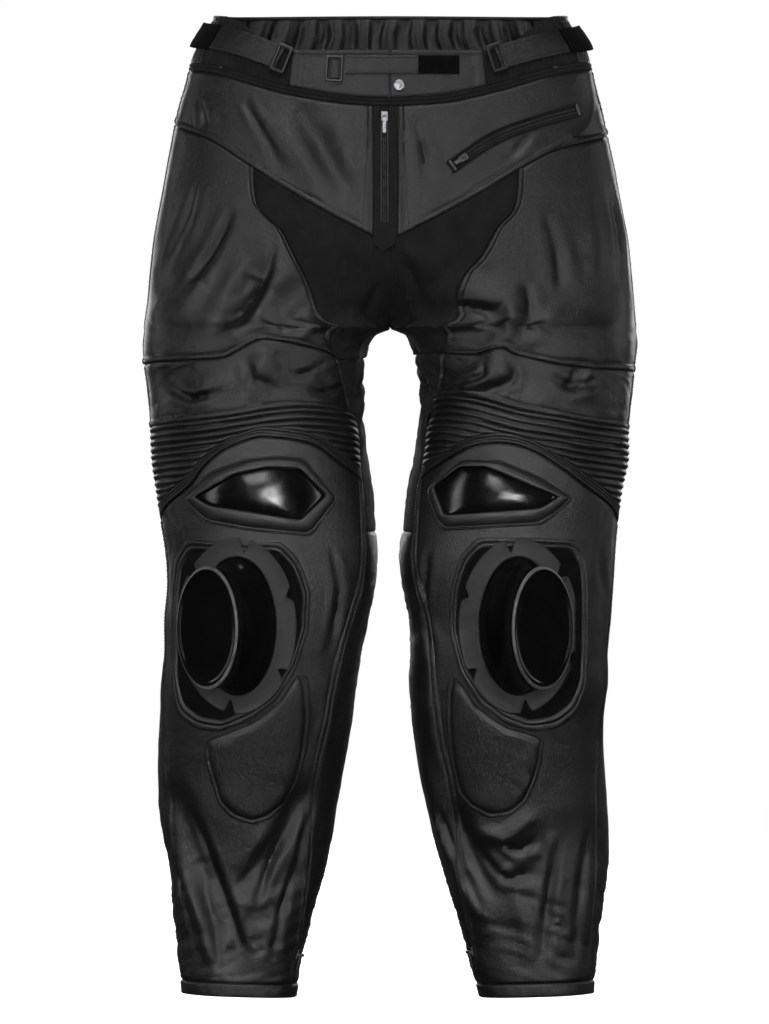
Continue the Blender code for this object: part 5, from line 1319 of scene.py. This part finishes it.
# Sections of the collars, from outside to hole: share of the way, height
PLATE_PROFILE = ((0, 0.6), (0.01, 1.6), (0.03, 2.2), (0.06, 2.3), (0.075, 1.9), (0.09, 1.9), (0.11, 3.4),
                 (0.15, 4.2), (0.19, 4.1), (0.215, 3.7), (0.25, 4.4), (0.34, 6.0), (0.5, 7.4), (0.7, 8.1),
                 (0.86, 8.2), (0.93, 8.0), (0.97, 7.4), (0.99, 6.6), (1.0, 5.4))
RING_PROFILE = ((0, 0.4), (0.02, 1.2), (0.05, 1.7), (0.10, 1.9), (0.13, 1.6), (0.5, 1.65), (0.86, 1.6),
                (0.90, 1.9), (0.95, 1.7), (0.98, 1.2), (1.0, 0.4))
# Sections of the mounds, from outside in: size against the outline, height
INSERT_PROFILE = ((1.0, 3.4), (0.995, 4.3), (0.985, 4.9), (0.965, 5.2), (0.93, 5.4), (0.8, 5.9), (0.6, 6.5),
                  (0.4, 6.8), (0.2, 7.0))
BASE_PROFILE = ((1.0, 0.5), (0.995, 1.3), (0.985, 1.7), (0.965, 1.8), (0.952, 1.4), (0.945, 1.0),
                (0.938, 2.0), (0.928, 2.8), (0.915, 3.0), (0.902, 2.7), (0.893, 1.9), (0.885, 1.1),
                (0.87, 1.1), (0.8, 1.3), (0.7, 1.2), (0.6, 1.3), (0.4, 1.3), (0.2, 1.3))
GUARD_PROFILE = ((1.0, 0.4), (0.995, 1.0), (0.98, 1.5), (0.955, 1.7), (0.93, 1.5), (0.91, 1.2), (0.895, 1.6),
                 (0.87, 2.9), (0.84, 3.8), (0.8, 4.3), (0.7, 4.6), (0.5, 4.6), (0.3, 4.5), (0.15, 4.5))
LOOP_POINTS = 132     # round the plates, bases and guards
RING_POINTS = 240
RING_HALF = (60, 90)
RING_HOLE = (39, 71)
RING_REACH = 57       # the hook ring is cut straight this far from its centre
RING_NOTCHES = ((40, 5, 0.16), (98, 5, 0.15), (158, 5, 0.10), (215, 5, 0.15), (278, 5, 0.16), (338, 5, 0.12))
PUCK_POINTS = 120
PUCK_BASE = (37.5, 69)
PUCK_FACE = (43, 63)
PUCK_TURN = math.radians(42)
PUCK_LIFT = 4.1
PUCK_DEPTH = 6.2      # from the face to the back of its flare


def knees():
    """Knee plates with their inserts, slider bases, hook rings, sliders and the shin guards."""
    for side, word in SIDES:
        knee = KNEES[side]
        centre = np.array(knee.plate_centre, dtype=float)
        outer = polar_loop(knee.plate, centre, LOOP_POINTS, 7)
        hole = polar_loop(knee.insert, centre, LOOP_POINTS, 4)
        collar(f"knee_plate_{word}_frame", f"knee_plate_{word}", side, outer,
               centre + (hole - centre) * 1.004, PLATE_PROFILE, 1.6, "rubber")
        mound(f"knee_insert_{word}_pad", f"knee_insert_{word}", side,
              centre + (hole - centre) * 0.990, centre, INSERT_PROFILE, 1.6, "gloss", 7.05)
        middle = np.array(knee.ring, dtype=float)
        base = polar_loop(knee.base, middle, LOOP_POINTS, 9)
        mound(f"slider_base_{word}_pad", f"slider_base_{word}", side, base, middle, BASE_PROFILE, 1.5,
              "leather", 1.3, stitched=0.965, wave=0.35, seed=110 + side, field=(0.885, "pile"))
        notched = oval(knee.ring, RING_HALF, RING_POINTS, RING_NOTCHES)
        notched[:, 0] = np.minimum(notched[:, 0], knee.ring[0] + RING_REACH)
        notched = even_loop(notched, RING_POINTS, 2)
        opening = even_loop(oval(knee.ring, RING_HOLE, RING_POINTS), RING_POINTS, 0)
        collar(f"hook_ring_{word}_band", f"hook_ring_{word}", side, notched, opening, RING_PROFILE, 4.0,
               "hook")
        puck(f"slider_{word}", side, knee)
        middle = np.array(knee.guard_centre, dtype=float)
        guard = polar_loop(knee.guard, middle, LOOP_POINTS, 5)
        gap = np.min(np.linalg.norm(guard[:, None] - even_loop(base, 400)[None], axis=2), axis=1)
        pad = mound(f"shin_guard_{word}_pad", f"shin_guard_{word}", side, guard, middle, GUARD_PROFILE, 1.6,
                    "leather", 4.5, stitched=0.955, wave=0.4, seed=120 + side,
                    rim=np.clip((gap - 4) / 12, 0.15, 1))


def puck(name, side, knee):
    """Knee slider: its foot follows the leg and its flat oval face, with a raised rim, is turned outwards."""
    middle = np.array(knee.ring, dtype=float)
    foot = oval(knee.ring, PUCK_BASE, PUCK_POINTS)
    stack = []
    for height, share in ((PUCK_LIFT, 0.35), (PUCK_LIFT, 0.7), (PUCK_LIFT, 1.0), (5.2, 1.0), (7.4, 0.995),
                          (8.4, 0.985)):
        stack.append(lifted(side, middle + (foot - middle) * share, height)[0])
    outward = np.array([side * math.sin(PUCK_TURN), -math.cos(PUCK_TURN), 0.0])
    across = np.array([side * math.cos(PUCK_TURN), math.sin(PUCK_TURN), 0.0])
    centre = np.array([side * knee.face[0], knee.face[1], knee.face[2]], dtype=float)
    neck = stack[-1]
    angle = np.arange(PUCK_POINTS) * 2 * math.pi / PUCK_POINTS
    ellipse = (across[None] * PUCK_FACE[0] * np.cos(angle)[:, None]
               + np.array([[0, 0, 1.0]]) * PUCK_FACE[1] * np.sin(angle)[:, None])
    flare = centre - outward * PUCK_DEPTH + ellipse * 0.985
    for share in (0.25, 0.5, 0.75):
        bowed = neck * (1 - share) + flare * share
        stack.append(bowed - unit(ellipse) * 2.6 * math.sin(math.pi * share))
    for share, drop in ((0.985, PUCK_DEPTH), (1.0, 5.0), (1.0, 2.4), (0.995, 1.3), (0.985, 0.6), (0.97, 0.2),
                        (0.95, 0.0), (0.90, 0.0), (0.885, 0.35), (0.87, 0.9), (0.85, 1.1), (0.6, 0.8),
                        (0.3, 0.6)):
        stack.append(centre - outward * drop + ellipse * share)
    bm = bmesh.new()
    ring_wall(bm, stack)
    bm.verts.ensure_lookup_table()
    bm.verts[-2].co = lifted(side, middle[None], PUCK_LIFT)[0][0]
    bm.faces.ensure_lookup_table()
    # The raised rim takes the light grey that paints its highlight.
    for face in bm.faces[PUCK_POINTS * 11:PUCK_POINTS * 15]:
        face.material_index = 1
    new_piece(f"{name}_puck", bm, ("gloss", "rim"), name, smooth=50)


def repeat_shape(name, shape, places, material):
    """Many copies of one small shape as a single piece; places are (points, across, along, outward)."""
    shape_points = np.array([vert.co[:] for vert in shape.verts])
    shape_faces = np.array([[vert.index for vert in face.verts] for face in shape.faces])
    shape.free()
    points, across, along, outward = places
    x, y, z = (shape_points[None, :, k:k + 1] for k in range(3))
    turned = x * across[:, None] + y * along[:, None] + z * outward[:, None] + points[:, None]
    starts = (np.arange(len(points)) * len(shape_points))[:, None, None]
    mesh = bpy.data.meshes.new(name)
    faces = (shape_faces[None] + starts).reshape(-1, shape_faces.shape[1])
    mesh.from_pydata((turned.reshape(-1, 3) * MM).tolist(), [], faces.tolist())
    dress(name, mesh, (material,), None, 60)


def even_places(points, normals, pitch):
    """Evenly spaced places on a line with their axes: point, across, along, outward."""
    length = np.concatenate([[0], np.cumsum(np.linalg.norm(np.diff(points, axis=0), axis=1))])
    where = np.arange(pitch / 2, length[-1], pitch)
    ahead = np.minimum(where + 0.4, length[-1])
    behind = np.maximum(where - 0.4, 0)

    def read(data, spots):
        return np.stack([np.interp(spots, length, data[:, k]) for k in range(3)], axis=1)

    point = read(points, where)
    along = unit(read(points, ahead) - read(points, behind))
    outward = read(normals, where)
    outward = unit(outward - along * np.sum(along * outward, axis=1, keepdims=True))
    return point, np.cross(along, outward), along, outward


def stacked(rows):
    """The places of several rows as one list each of points and axes."""
    return [np.vstack([row[k] for row in rows]) for k in range(4)]


STITCH_HALF = (0.42, 1.35, 0.36)      # half width, length and height of one stitch


def stitches(name):
    """Every noted row of stitches as one piece: a short rounded thread for each stitch."""
    bm = bmesh.new()
    bmesh.ops.create_icosphere(bm, subdivisions=1, radius=1)
    bmesh.ops.scale(bm, vec=STITCH_HALF, verts=bm.verts[:])
    bm.verts.index_update()
    repeat_shape(name, bm, stacked([even_places(*row) for row in STITCH_ROWS]), "thread")


def tooth_shape(size):
    """Block with bevelled top edges."""
    bm = bmesh.new()
    bmesh.ops.create_cube(bm, size=1)
    bmesh.ops.scale(bm, vec=size, verts=bm.verts[:])
    top = [edge for edge in bm.edges if all(vert.co.z > 0 for vert in edge.verts)]
    bmesh.ops.bevel(bm, geom=top, offset=0.3, segments=1, affect="EDGES", profile=0.5, material=-1)
    bmesh.ops.triangulate(bm, faces=bm.faces[:])
    bm.verts.index_update()
    return bm


def zip_teeth(name, line, normals, offset, pitch, lift, size, material="zip_dark", slot="steel"):
    """Two rows of interlocked teeth, an offset either side of a line."""
    rows = []
    for number, sign in enumerate((-1, 1)):
        point, across, along, outward = even_places(line, normals, pitch)
        point = point + across * sign * offset + outward * lift + along * (number * pitch / 2)
        rows.append((point, across, along, outward))
    repeat_shape(name, tooth_shape(size), stacked(rows), material)


# Section of the fly across: x and height of each line of points
FLY_X = (-17, -16.2, -15, -13, -11, -10.2, -9.9, -9.3, -8.2, -5.7, -3.2, -2.1, -1.5, -0.5, 1.5, 4.5, 6.5,
         7.3, 8.0)
FLY_RELIEF = (-0.3, 0.3, 0.5, 0.4, 0.5, 1.3, 1.5, 0.4, -0.4, -0.4, -0.4, 0.4, 1.6, 1.5, 0.5, 0.4, 0.5, 0.3,
              -0.3)
FLY_MIDDLE = -5.7
TAB_TOP = -138
TAB_COLUMNS = 21


def fly():
    """Fly: two woven tapes and the teeth between them, with the pointed tab over its lower end."""
    shape = np.array(FLY_RELIEF)
    sides, grid = across_grid(FLY_X, np.linspace(-152, -18, 60))
    relief = shape[None, :] + 0.25 * mottle(131, grid[..., 1] / 9, shape[None, :] * 3 + 0 * grid[..., 1])
    ring_cloth("fly_zip", sides, grid, relief, ("tape", "lining"), flat=(25, 136))
    sides, grid = across_grid((FLY_MIDDLE,), np.linspace(-150, -34, 70))
    point, normal = ring_surface(sides, grid[..., 0], grid[..., 1])
    line = (point[:, 0], normal[:, 0])
    zip_teeth("fly_teeth", *line, 1.0, 1.8, 0.2, (1.7, 0.9, 1.0))
    # The rows beside the teeth are light grey, painted highlights along the edges of the tapes.
    zip_teeth("fly_edges", *line, 3.4, 1.5, 1.3, (0.8, 1.45, 0.9), "rim", None)
    tab_x = np.linspace(-17, 5, TAB_COLUMNS)
    lower = -161 - 7 * (1 - np.abs(tab_x + 6.5) / 11.0)
    share = np.concatenate([[0, 0.03, 0.08], np.linspace(0.14, 0.9, 14), [0.96, 1.0]])
    grid = np.array([[(front_turn(x, z), z) for x, z in zip(tab_x, TAB_TOP + (lower - TAB_TOP) * (1 - s))]
                     for s in share])
    sides = np.array([[-1 if x < 0 else 1 for x in tab_x]] * len(share))
    place = np.linspace(0, 1, TAB_COLUMNS)
    rim = np.minimum(place, 1 - place)[None, :]
    border = np.minimum(rim * 22, share[:, None] * 26)
    relief = 0.35 - 0.6 * np.exp(-(border / 0.7) ** 2) - 0.3 * np.exp(-((border - 3.0) / 0.7) ** 2)
    ring_cloth("fly_tab", sides, grid, relief, ("tape", "tape"), edges="", lift=LIFT + 0.6, wall=1.1,
               flat=(22, 29))


POCKET = ((61, -82), (103, -53), (144, -36), (195, -20))
# Section of half the pocket, from its middle out: offset, height
POCKET_SECTION = ((0.0, 0.3), (3.0, 0.3), (4.1, 0.3), (4.4, 0.6), (4.8, 1.4), (5.4, 1.9), (6.1, 1.9),
                  (6.7, 1.5), (7.0, 0.7))


def pocket():
    """Hip pocket: two lips over a zip in the right yoke."""
    path = spline(POCKET, 70)
    along = unit(np.gradient(path, axis=0))
    square = np.stack([-along[:, 1], along[:, 0]], axis=1)
    section = [(-offset, height) for offset, height in POCKET_SECTION[:0:-1]] + list(POCKET_SECTION)
    offsets, heights = np.array(section).T
    centre = path[None] + square[None] * offsets[:, None, None]
    grid = np.array([to_leg(1, row) for row in centre])
    uneven = mottle(141, path[None, :, 0] / 9, offsets[:, None] / 5 + 0 * path[None, :, 0])
    relief = heights[:, None] + 0.2 * uneven
    ring_cloth("pocket_zip", np.ones(grid.shape[:2]), grid, relief, ("tape", "tape"), edges="", lift=LIFT,
               wall=0.4, flat=(150, 18))
    middle = to_leg(1, path[3:-2])
    point, normal = leg(1, middle[:, 0], middle[:, 1])
    tacks = [data[[0, -1]] for data in even_places(point, normal, 3.0)]
    tacks[0] = tacks[0] + tacks[2] * [[-4], [4]] + tacks[3] * 2.4
    # The bar tacks are light grey: painted highlights at the ends of the pocket.
    repeat_shape("pocket_tacks", tooth_shape((12.0, 2.6, 1.8)), tacks, "rim")
    zip_teeth("pocket_teeth", point, normal, 1.9, 1.5, 1.6, (0.8, 1.1, 1.0))


def calf_zips():
    """Calf zips: teeth on the inner seams, above the sliders."""
    for (side, word), low in zip(SIDES, (-888, -885)):
        seam = NETS[side].inner_shin
        run = seam[(seam[:, 1] > low) & (seam[:, 1] < -640)]
        where = np.linspace(0, len(run) - 1, 160)
        run = np.stack([np.interp(where, range(len(run)), run[:, k]) for k in (0, 1)], axis=1)
        point, normal = leg(side, run[:, 0], run[:, 1])
        zip_teeth(f"calf_teeth_{word}", point, normal, 1.0, 1.8, -0.1, (1.8, 0.9, 1.3))


# Materials

def new_group(name, inputs, outputs):
    """Node group with a vector input, number inputs by name and value, and number outputs by name."""
    group = bpy.data.node_groups.new(name, "ShaderNodeTree")
    group.interface.new_socket(name="Vector", in_out="INPUT", socket_type="NodeSocketVector")
    for key, value in inputs.items():
        item = group.interface.new_socket(name=key, in_out="INPUT", socket_type="NodeSocketFloat")
        item.default_value = value
    for key in outputs:
        group.interface.new_socket(name=key, in_out="OUTPUT", socket_type="NodeSocketFloat")
    nodes = Nodes(group)
    return group, nodes, nodes.add("NodeGroupInput").outputs, nodes.add("NodeGroupOutput").inputs


class Nodes:
    """Short hand for adding and linking the nodes of one tree."""

    def __init__(self, tree):
        self.tree = tree

    def add(self, kind, settings=None, **inputs):
        node = self.tree.nodes.new(kind)
        for key, value in (settings or {}).items():
            setattr(node, key, value)
        for key, value in inputs.items():
            self.feed(node.inputs[key.replace("_", " ")], value)
        return node

    def feed(self, target, value):
        if isinstance(value, bpy.types.NodeSocket):
            self.tree.links.new(value, target)
        else:
            target.default_value = value

    def math(self, operation, first, second=0.0):
        node = self.tree.nodes.new("ShaderNodeMath")
        node.operation = operation
        self.feed(node.inputs[0], first)
        self.feed(node.inputs[1], second)
        return node.outputs[0]

    def ramp(self, value, low, high, out_low=0.0, out_high=1.0):
        node = self.add("ShaderNodeMapRange", {"clamp": True}, Value=value, From_Min=low, From_Max=high,
                        To_Min=out_low, To_Max=out_high)
        return node.outputs["Result"]

    def noise(self, vector, scale, detail=2.0, roughness=0.5):
        return self.add("ShaderNodeTexNoise", None, Vector=vector, Scale=scale, Detail=detail,
                        Roughness=roughness).outputs[0]

    def mix(self, share, first, second):
        """Colour between two colours; inputs 6 and 7 of the node are its colours."""
        node = self.tree.nodes.new("ShaderNodeMix")
        node.data_type = "RGBA"
        self.feed(node.inputs[0], share)
        for index, colour in ((6, first), (7, second)):
            self.feed(node.inputs[index], (*colour, 1) if isinstance(colour, (tuple, list)) else colour)
        return node.outputs[2]

    def bump(self, strength, depth, height, **more):
        node = self.add("ShaderNodeBump", None, Strength=strength, Distance=depth, Height=height, **more)
        return node.outputs[0]


def grain_group():
    """Leather grain: rounded pebbles and fine wrinkles, as heights and a mask of the valleys."""
    group, nodes, (vector, pebble, wrinkle, *_), end = new_group(
        "leather grain", {"Pebble scale": 560.0, "Wrinkle scale": 90.0},
        ("Grain height", "Wrinkle height", "Valleys"))
    bend = nodes.add("ShaderNodeTexNoise", None, Vector=vector, Scale=300.0, Detail=1.0)
    warped = nodes.add("ShaderNodeVectorMath", {"operation": "MULTIPLY_ADD"})
    nodes.feed(warped.inputs[0], bend.outputs["Color"])
    warped.inputs[1].default_value = (0.0016, 0.0016, 0.0016)
    nodes.feed(warped.inputs[2], vector)
    cells = nodes.add("ShaderNodeTexVoronoi", {"feature": "DISTANCE_TO_EDGE"}, Vector=warped.outputs[0],
                      Scale=pebble)
    edge = nodes.ramp(cells.outputs["Distance"], 0.0, 0.22)
    finer = nodes.noise(vector, 2600.0, 1.0)
    grain = nodes.math("ADD", edge, nodes.math("MULTIPLY", finer, 0.35))
    lines = nodes.noise(vector, wrinkle, 5.0, 0.62)
    folded = nodes.math("ABSOLUTE", nodes.math("SUBTRACT", lines, 0.5))
    nodes.feed(end["Grain height"], grain)
    nodes.feed(end["Wrinkle height"], nodes.ramp(folded, 0.0, 0.16))
    nodes.feed(end["Valleys"], nodes.math("SUBTRACT", 1.0, edge))
    return group


def weave_group():
    """Stretch cloth: fine knitted ribs crossed by rows of loops, as a height."""
    group, nodes, (vector, *_), end = new_group("stretch weave", {}, ("Height",))

    def bands(direction, scale):
        wave = nodes.add("ShaderNodeTexWave", {"wave_type": "BANDS", "bands_direction": direction},
                         Vector=vector, Scale=scale, Distortion=0.6, Detail=1.0, Detail_Scale=2.0)
        return wave.outputs["Fac"]

    ribs, loops = bands("X", 220.0), bands("Z", 300.0)
    both = nodes.math("MULTIPLY", ribs, loops)
    nodes.feed(end["Height"], nodes.math("ADD", both, nodes.math("MULTIPLY", ribs, 0.5)))
    return group


def new_material(name, roughness=0.5, metallic=0.0):
    """A material with its nodes, the inputs of its shader and the place on the object."""
    material = bpy.data.materials.new(name)
    material.use_nodes = True
    nodes = Nodes(material.node_tree)
    shader = material.node_tree.nodes["Principled BSDF"].inputs
    shader["Roughness"].default_value = roughness
    shader["Metallic"].default_value = metallic
    return material, nodes, shader, nodes.add("ShaderNodeTexCoord").outputs["Object"]


def leather_material(name, dark, light, rough, pebble, grain_depth, wrinkle_depth):
    """Full grain leather with a soft sheen: pebbles, small wrinkles with shade painted into the valleys of
    the grain, and polish where it is rubbed.
    """
    material, nodes, shader, position = new_material(name)
    grain = nodes.add("ShaderNodeGroup", {"node_tree": GROUPS["grain"]}, Vector=position, Pebble_scale=pebble)
    valleys = grain.outputs["Valleys"]
    patches = nodes.noise(position, 14.0, 3.0, 0.55)
    colour = nodes.mix(nodes.ramp(patches, 0.35, 0.68), dark, light)
    # The base colour is darkened in the valleys of the grain: painted shade.
    painted_valley_shade = nodes.math("MULTIPLY", valleys, 0.45)
    nodes.feed(shader["Base Color"], nodes.mix(painted_valley_shade, colour, [c * 0.4 for c in dark]))
    gloss = nodes.ramp(nodes.noise(position, 32.0, 3.0, 0.5), 0.3, 0.7, *rough)
    nodes.feed(shader["Roughness"], nodes.math("ADD", gloss, nodes.math("MULTIPLY", valleys, 0.12)))
    wrinkles = nodes.bump(0.5, wrinkle_depth, grain.outputs["Wrinkle height"])
    pebbles = nodes.bump(0.55, grain_depth, grain.outputs["Grain height"], Normal=wrinkles)
    nodes.feed(shader["Normal"], pebbles)
    shader["Sheen Weight"].default_value = 0.02
    shader["Sheen Roughness"].default_value = 0.45
    return material


def stretch_material(name, dark, light, depth):
    """Matt woven or knitted cloth, with shade painted into the hollows of its weave."""
    material, nodes, shader, position = new_material(name, 0.85)
    height = nodes.add("ShaderNodeGroup", {"node_tree": GROUPS["weave"]}, Vector=position).outputs["Height"]
    # The base colour is lighter on the raised knit and darker in its hollows: painted shade.
    nodes.feed(shader["Base Color"], nodes.mix(nodes.ramp(height, 0.2, 1.1), dark, light))
    nodes.feed(shader["Roughness"], nodes.ramp(nodes.noise(position, 60.0, 2.0), 0.3, 0.7, 0.72, 0.9))
    nodes.feed(shader["Normal"], nodes.bump(0.6, depth, height))
    shader["Sheen Weight"].default_value = 0.02
    shader["Specular IOR Level"].default_value = 0.35
    shader["Sheen Roughness"].default_value = 0.5
    return material


def pile_material(name):
    """Looped pile that the hooks of a strap hold to."""
    material, nodes, shader, position = new_material(name, 0.95)
    loops = nodes.noise(position, 900.0, 3.0, 0.7)
    patches = nodes.noise(position, 90.0, 2.0)
    # The colour is darker between the loops and lighter on their tops, painted shade, and also varies at
    # random in patches.
    painted_loop_shade_and_tone = nodes.math("MULTIPLY", loops, nodes.ramp(patches, 0.3, 0.7, 0.6, 1.2))
    colour = nodes.mix(nodes.ramp(painted_loop_shade_and_tone, 0.2, 0.8), (0.001, 0.001, 0.001), (0.006, 0.006, 0.0065))
    nodes.feed(shader["Base Color"], colour)
    nodes.feed(shader["Normal"], nodes.bump(0.9, 0.0012, loops))
    shader["Specular IOR Level"].default_value = 0.12
    return material


def moulded_material(name, dark, light, rough, fine, depth, specular=0.5):
    """Moulded rubber or plastic with a faint texture and scuffs."""
    material, nodes, shader, position = new_material(name)
    patches = nodes.noise(position, 45.0, 4.0, 0.6)
    nodes.feed(shader["Base Color"], nodes.mix(nodes.ramp(patches, 0.35, 0.7), dark, light))
    nodes.feed(shader["Roughness"], nodes.ramp(nodes.noise(position, 120.0, 3.0), 0.3, 0.7, *rough))
    nodes.feed(shader["Normal"], nodes.bump(0.4, depth, nodes.noise(position, fine, 2.0)))
    shader["Specular IOR Level"].default_value = specular
    return material


def steel_material(name, dark, light, rough):
    """Cast zip metal, mottled brighter in small worn patches."""
    material, nodes, shader, position = new_material(name, 0.3, 1.0)
    patches = nodes.noise(position, 380.0, 3.0, 0.6)
    nodes.feed(shader["Base Color"], nodes.mix(nodes.ramp(patches, 0.35, 0.65), dark, light))
    nodes.feed(shader["Roughness"], nodes.ramp(patches, 0.3, 0.7, *rough))
    nodes.feed(shader["Normal"], nodes.bump(0.25, 0.0002, nodes.noise(position, 2400.0, 2.0)))
    return material


def grey(level, blue=0.0):
    """Neutral colour, a trace bluer by blue."""
    return (level, level, level + blue)


def make_materials():
    """Every finish by its short name; dark and light are the two shades that it is mottled in."""
    return {
        "leather": leather_material("black grained leather", grey(0.0028, 0.0002), grey(0.0060, 0.0003),
                                    (0.29, 0.38), 620.0, 0.00020, 0.0003),
        "stretch": stretch_material("black stretch cloth", grey(0.002, 0.0002), grey(0.007, 0.0003), 0.0005),
        "lining": stretch_material("black lining cloth", grey(0.004, 0.0005), grey(0.009, 0.0005), 0.0004),
        "tape": stretch_material("zip tape", grey(0.003, 0.0005), grey(0.008, 0.0005), 0.0004),
        "thread": stretch_material("black sewing thread", grey(0.006, 0.0005), grey(0.014, 0.0005), 0.0002),
        "pile": pile_material("hook and loop pile"),
        "rubber": moulded_material("moulded rubber", grey(0.010, 0.0005), grey(0.015, 0.0005), (0.42, 0.52),
                                   1500.0, 0.0003),
        "hook": moulded_material("hook tape", grey(0.013, 0.0005), grey(0.018, 0.0005), (0.60, 0.72),
                                 1900.0, 0.0003),
        # rim: light grey that paints highlights on the sliders' rims, along the fly's edges and on the
        # pocket's bar tacks.
        "rim": moulded_material("light grey painted highlight", grey(0.05, 0.001), grey(0.13, 0.001), (0.28, 0.42),
                                800.0, 0.0002),
        "gloss": moulded_material("gloss black plastic", grey(0.002, 0.0002), grey(0.004, 0.0002),
                                  (0.12, 0.20), 900.0, 0.00004, 0.2),
        "plastic": moulded_material("satin black plastic", grey(0.006, 0.0005), grey(0.010, 0.0005),
                                    (0.30, 0.40), 1800.0, 0.0001),
        "steel": steel_material("bright zip steel", grey(0.22, 0.01), grey(0.40, 0.01), (0.28, 0.42)),
        "zip_dark": steel_material("blackened zip metal", grey(0.07, 0.002), grey(0.16, 0.005), (0.32, 0.45)),
    }


KEPT_SOLIDS = {"fly_slider": "steel", "fly_pull": "steel",
               "pocket_slider": "zip_dark", "pocket_pull": "zip_dark",
               "calf_slider_left": "zip_dark", "calf_pull_left": "zip_dark",
               "calf_slider_right": "zip_dark", "calf_pull_right": "zip_dark"}


def finish_kept_solids():
    """Zip sliders and pull tabs keep their solids and take the zip metals."""
    for name, metal in KEPT_SOLIDS.items():
        materials = bpy.data.objects[name].data.materials
        materials.clear()
        materials.append(MATERIALS[metal])


# Floor, light and camera, in metres

FLOOR_RADIUS = 4.0
FLOOR_HEIGHT = -0.956      # just under the hems


def pale_floor():
    """Round pale floor, out of sight of reflections, so that the black leather keeps its depth."""
    bm = bmesh.new()
    bmesh.ops.create_circle(bm, cap_ends=True, segments=128, radius=FLOOR_RADIUS)
    bmesh.ops.translate(bm, vec=(0, 0, FLOOR_HEIGHT), verts=bm.verts[:])
    mesh = bpy.data.meshes.new("floor")
    bm.to_mesh(mesh)
    bm.free()
    material = bpy.data.materials.new("pale floor")
    material.use_nodes = True
    shader = material.node_tree.nodes["Principled BSDF"].inputs
    shader["Base Color"].default_value = (0.86, 0.86, 0.86, 1)
    shader["Roughness"].default_value = 0.9
    shader["Emission Color"].default_value = (1, 1, 1, 1)
    shader["Emission Strength"].default_value = 0.9
    mesh.materials.append(material)
    floor = bpy.data.objects.new("floor", mesh)
    bpy.context.scene.collection.objects.link(floor)
    floor.visible_glossy = False
    floor.visible_diffuse = False


def area_light(name, place, target, size, watts, spread=math.pi):
    """Soft lamp of a width and height, turned to the target."""
    data = bpy.data.lights.new(name, "AREA")
    data.shape = "RECTANGLE"
    data.size, data.size_y = size
    data.energy = watts
    data.spread = spread
    lamp = bpy.data.objects.new(name, data)
    bpy.context.scene.collection.objects.link(lamp)
    lamp.location = place
    lamp.rotation_euler = (Vector(target) - Vector(place)).to_track_quat("-Z", "Y").to_euler()


def studio():
    """White surroundings that only the camera sees, and large soft lamps in front, above and behind."""
    bpy.context.scene.view_settings.view_transform = "Standard"
    world = bpy.data.worlds.new("studio")
    bpy.context.scene.world = world
    world.use_nodes = True
    nodes = Nodes(world.node_tree)
    seen = nodes.add("ShaderNodeLightPath").outputs["Is Camera Ray"]
    background = world.node_tree.nodes["Background"].inputs
    nodes.feed(background["Color"], (1, 1, 1, 1))
    nodes.feed(background["Strength"], nodes.ramp(seen, 0.0, 1.0, 0.03, 1.0))
    middle, shins, hems = (0, 0, -0.4), (0, 0, -0.70), (0, 0, -0.75)
    area_light("overhead", (0.0, -2.0, 2.0), middle, (1.3, 0.6), 34)
    area_light("front fill", (-0.5, -4.4, 0.5), shins, (1.0, 0.8), 36)
    area_light("shin fill", (0.2, -4.4, -0.60), (0, 0, -0.66), (0.9, 0.6), 0.9, math.radians(15))
    area_light("overhead behind", (0.0, 2.0, 2.0), middle, (2.0, 0.9), 60)
    area_light("back fill", (0.3, 4.6, 1.0), middle, (1.4, 0.9), 30)
    for side, word in SIDES:
        area_light(f"front {word}", (2.3 * side, -2.6, -0.4), hems, (0.5, 1.8), 22)
        area_light(f"side {word}", (3.2 * side, 0.9, 0.3), middle, (0.6, 1.8), 14)
        area_light(f"back {word}", (1.5 * side, 3.4, 0.5), middle, (0.7, 1.8), 22)


DISTANCE = 7.0
FRAME_HEIGHT = 1.0547       # what the photograph's frame takes in at the trousers
FRAME_MIDDLE = (-0.0057, -0.4347)      # x and z
FRONT = 0.05                # the distance is measured from this far before the origin
SENSOR = 36.0


def camera():
    """Camera level with the middle of the photograph's frame."""
    data = bpy.data.cameras.new("camera")
    data.sensor_fit = "VERTICAL"
    data.sensor_height = SENSOR
    data.lens = SENSOR * DISTANCE / FRAME_HEIGHT
    data.clip_end = 60
    thing = bpy.data.objects.new("camera", data)
    bpy.context.scene.collection.objects.link(thing)
    thing.location = (FRAME_MIDDLE[0], -DISTANCE - FRONT, FRAME_MIDDLE[1])
    thing.rotation_euler = (math.pi / 2, 0, 0)
    bpy.context.scene.camera = thing


GROUPS = {"grain": grain_group(), "weave": weave_group()}
MATERIALS = make_materials()
leg_panels()
waist_pieces()
for side, word in SIDES:
    side_strap(side, word)
belt()
buckle("side_buckle_left", -1, 111, 31, (16.0, 29.0), 3.0, 0.26)
buckle("side_buckle_right", 1, 109, 32, (16.0, 29.0), 3.0, -0.20)
buckle("belt_buckle", -1, 57, 20, (18.0, 27.0), 2.6, 0.0)
snap_cap()
knees()
fly()
pocket()
calf_zips()
stitches("seam_stitches")
finish_kept_solids()
pale_floor()
studio()
camera()
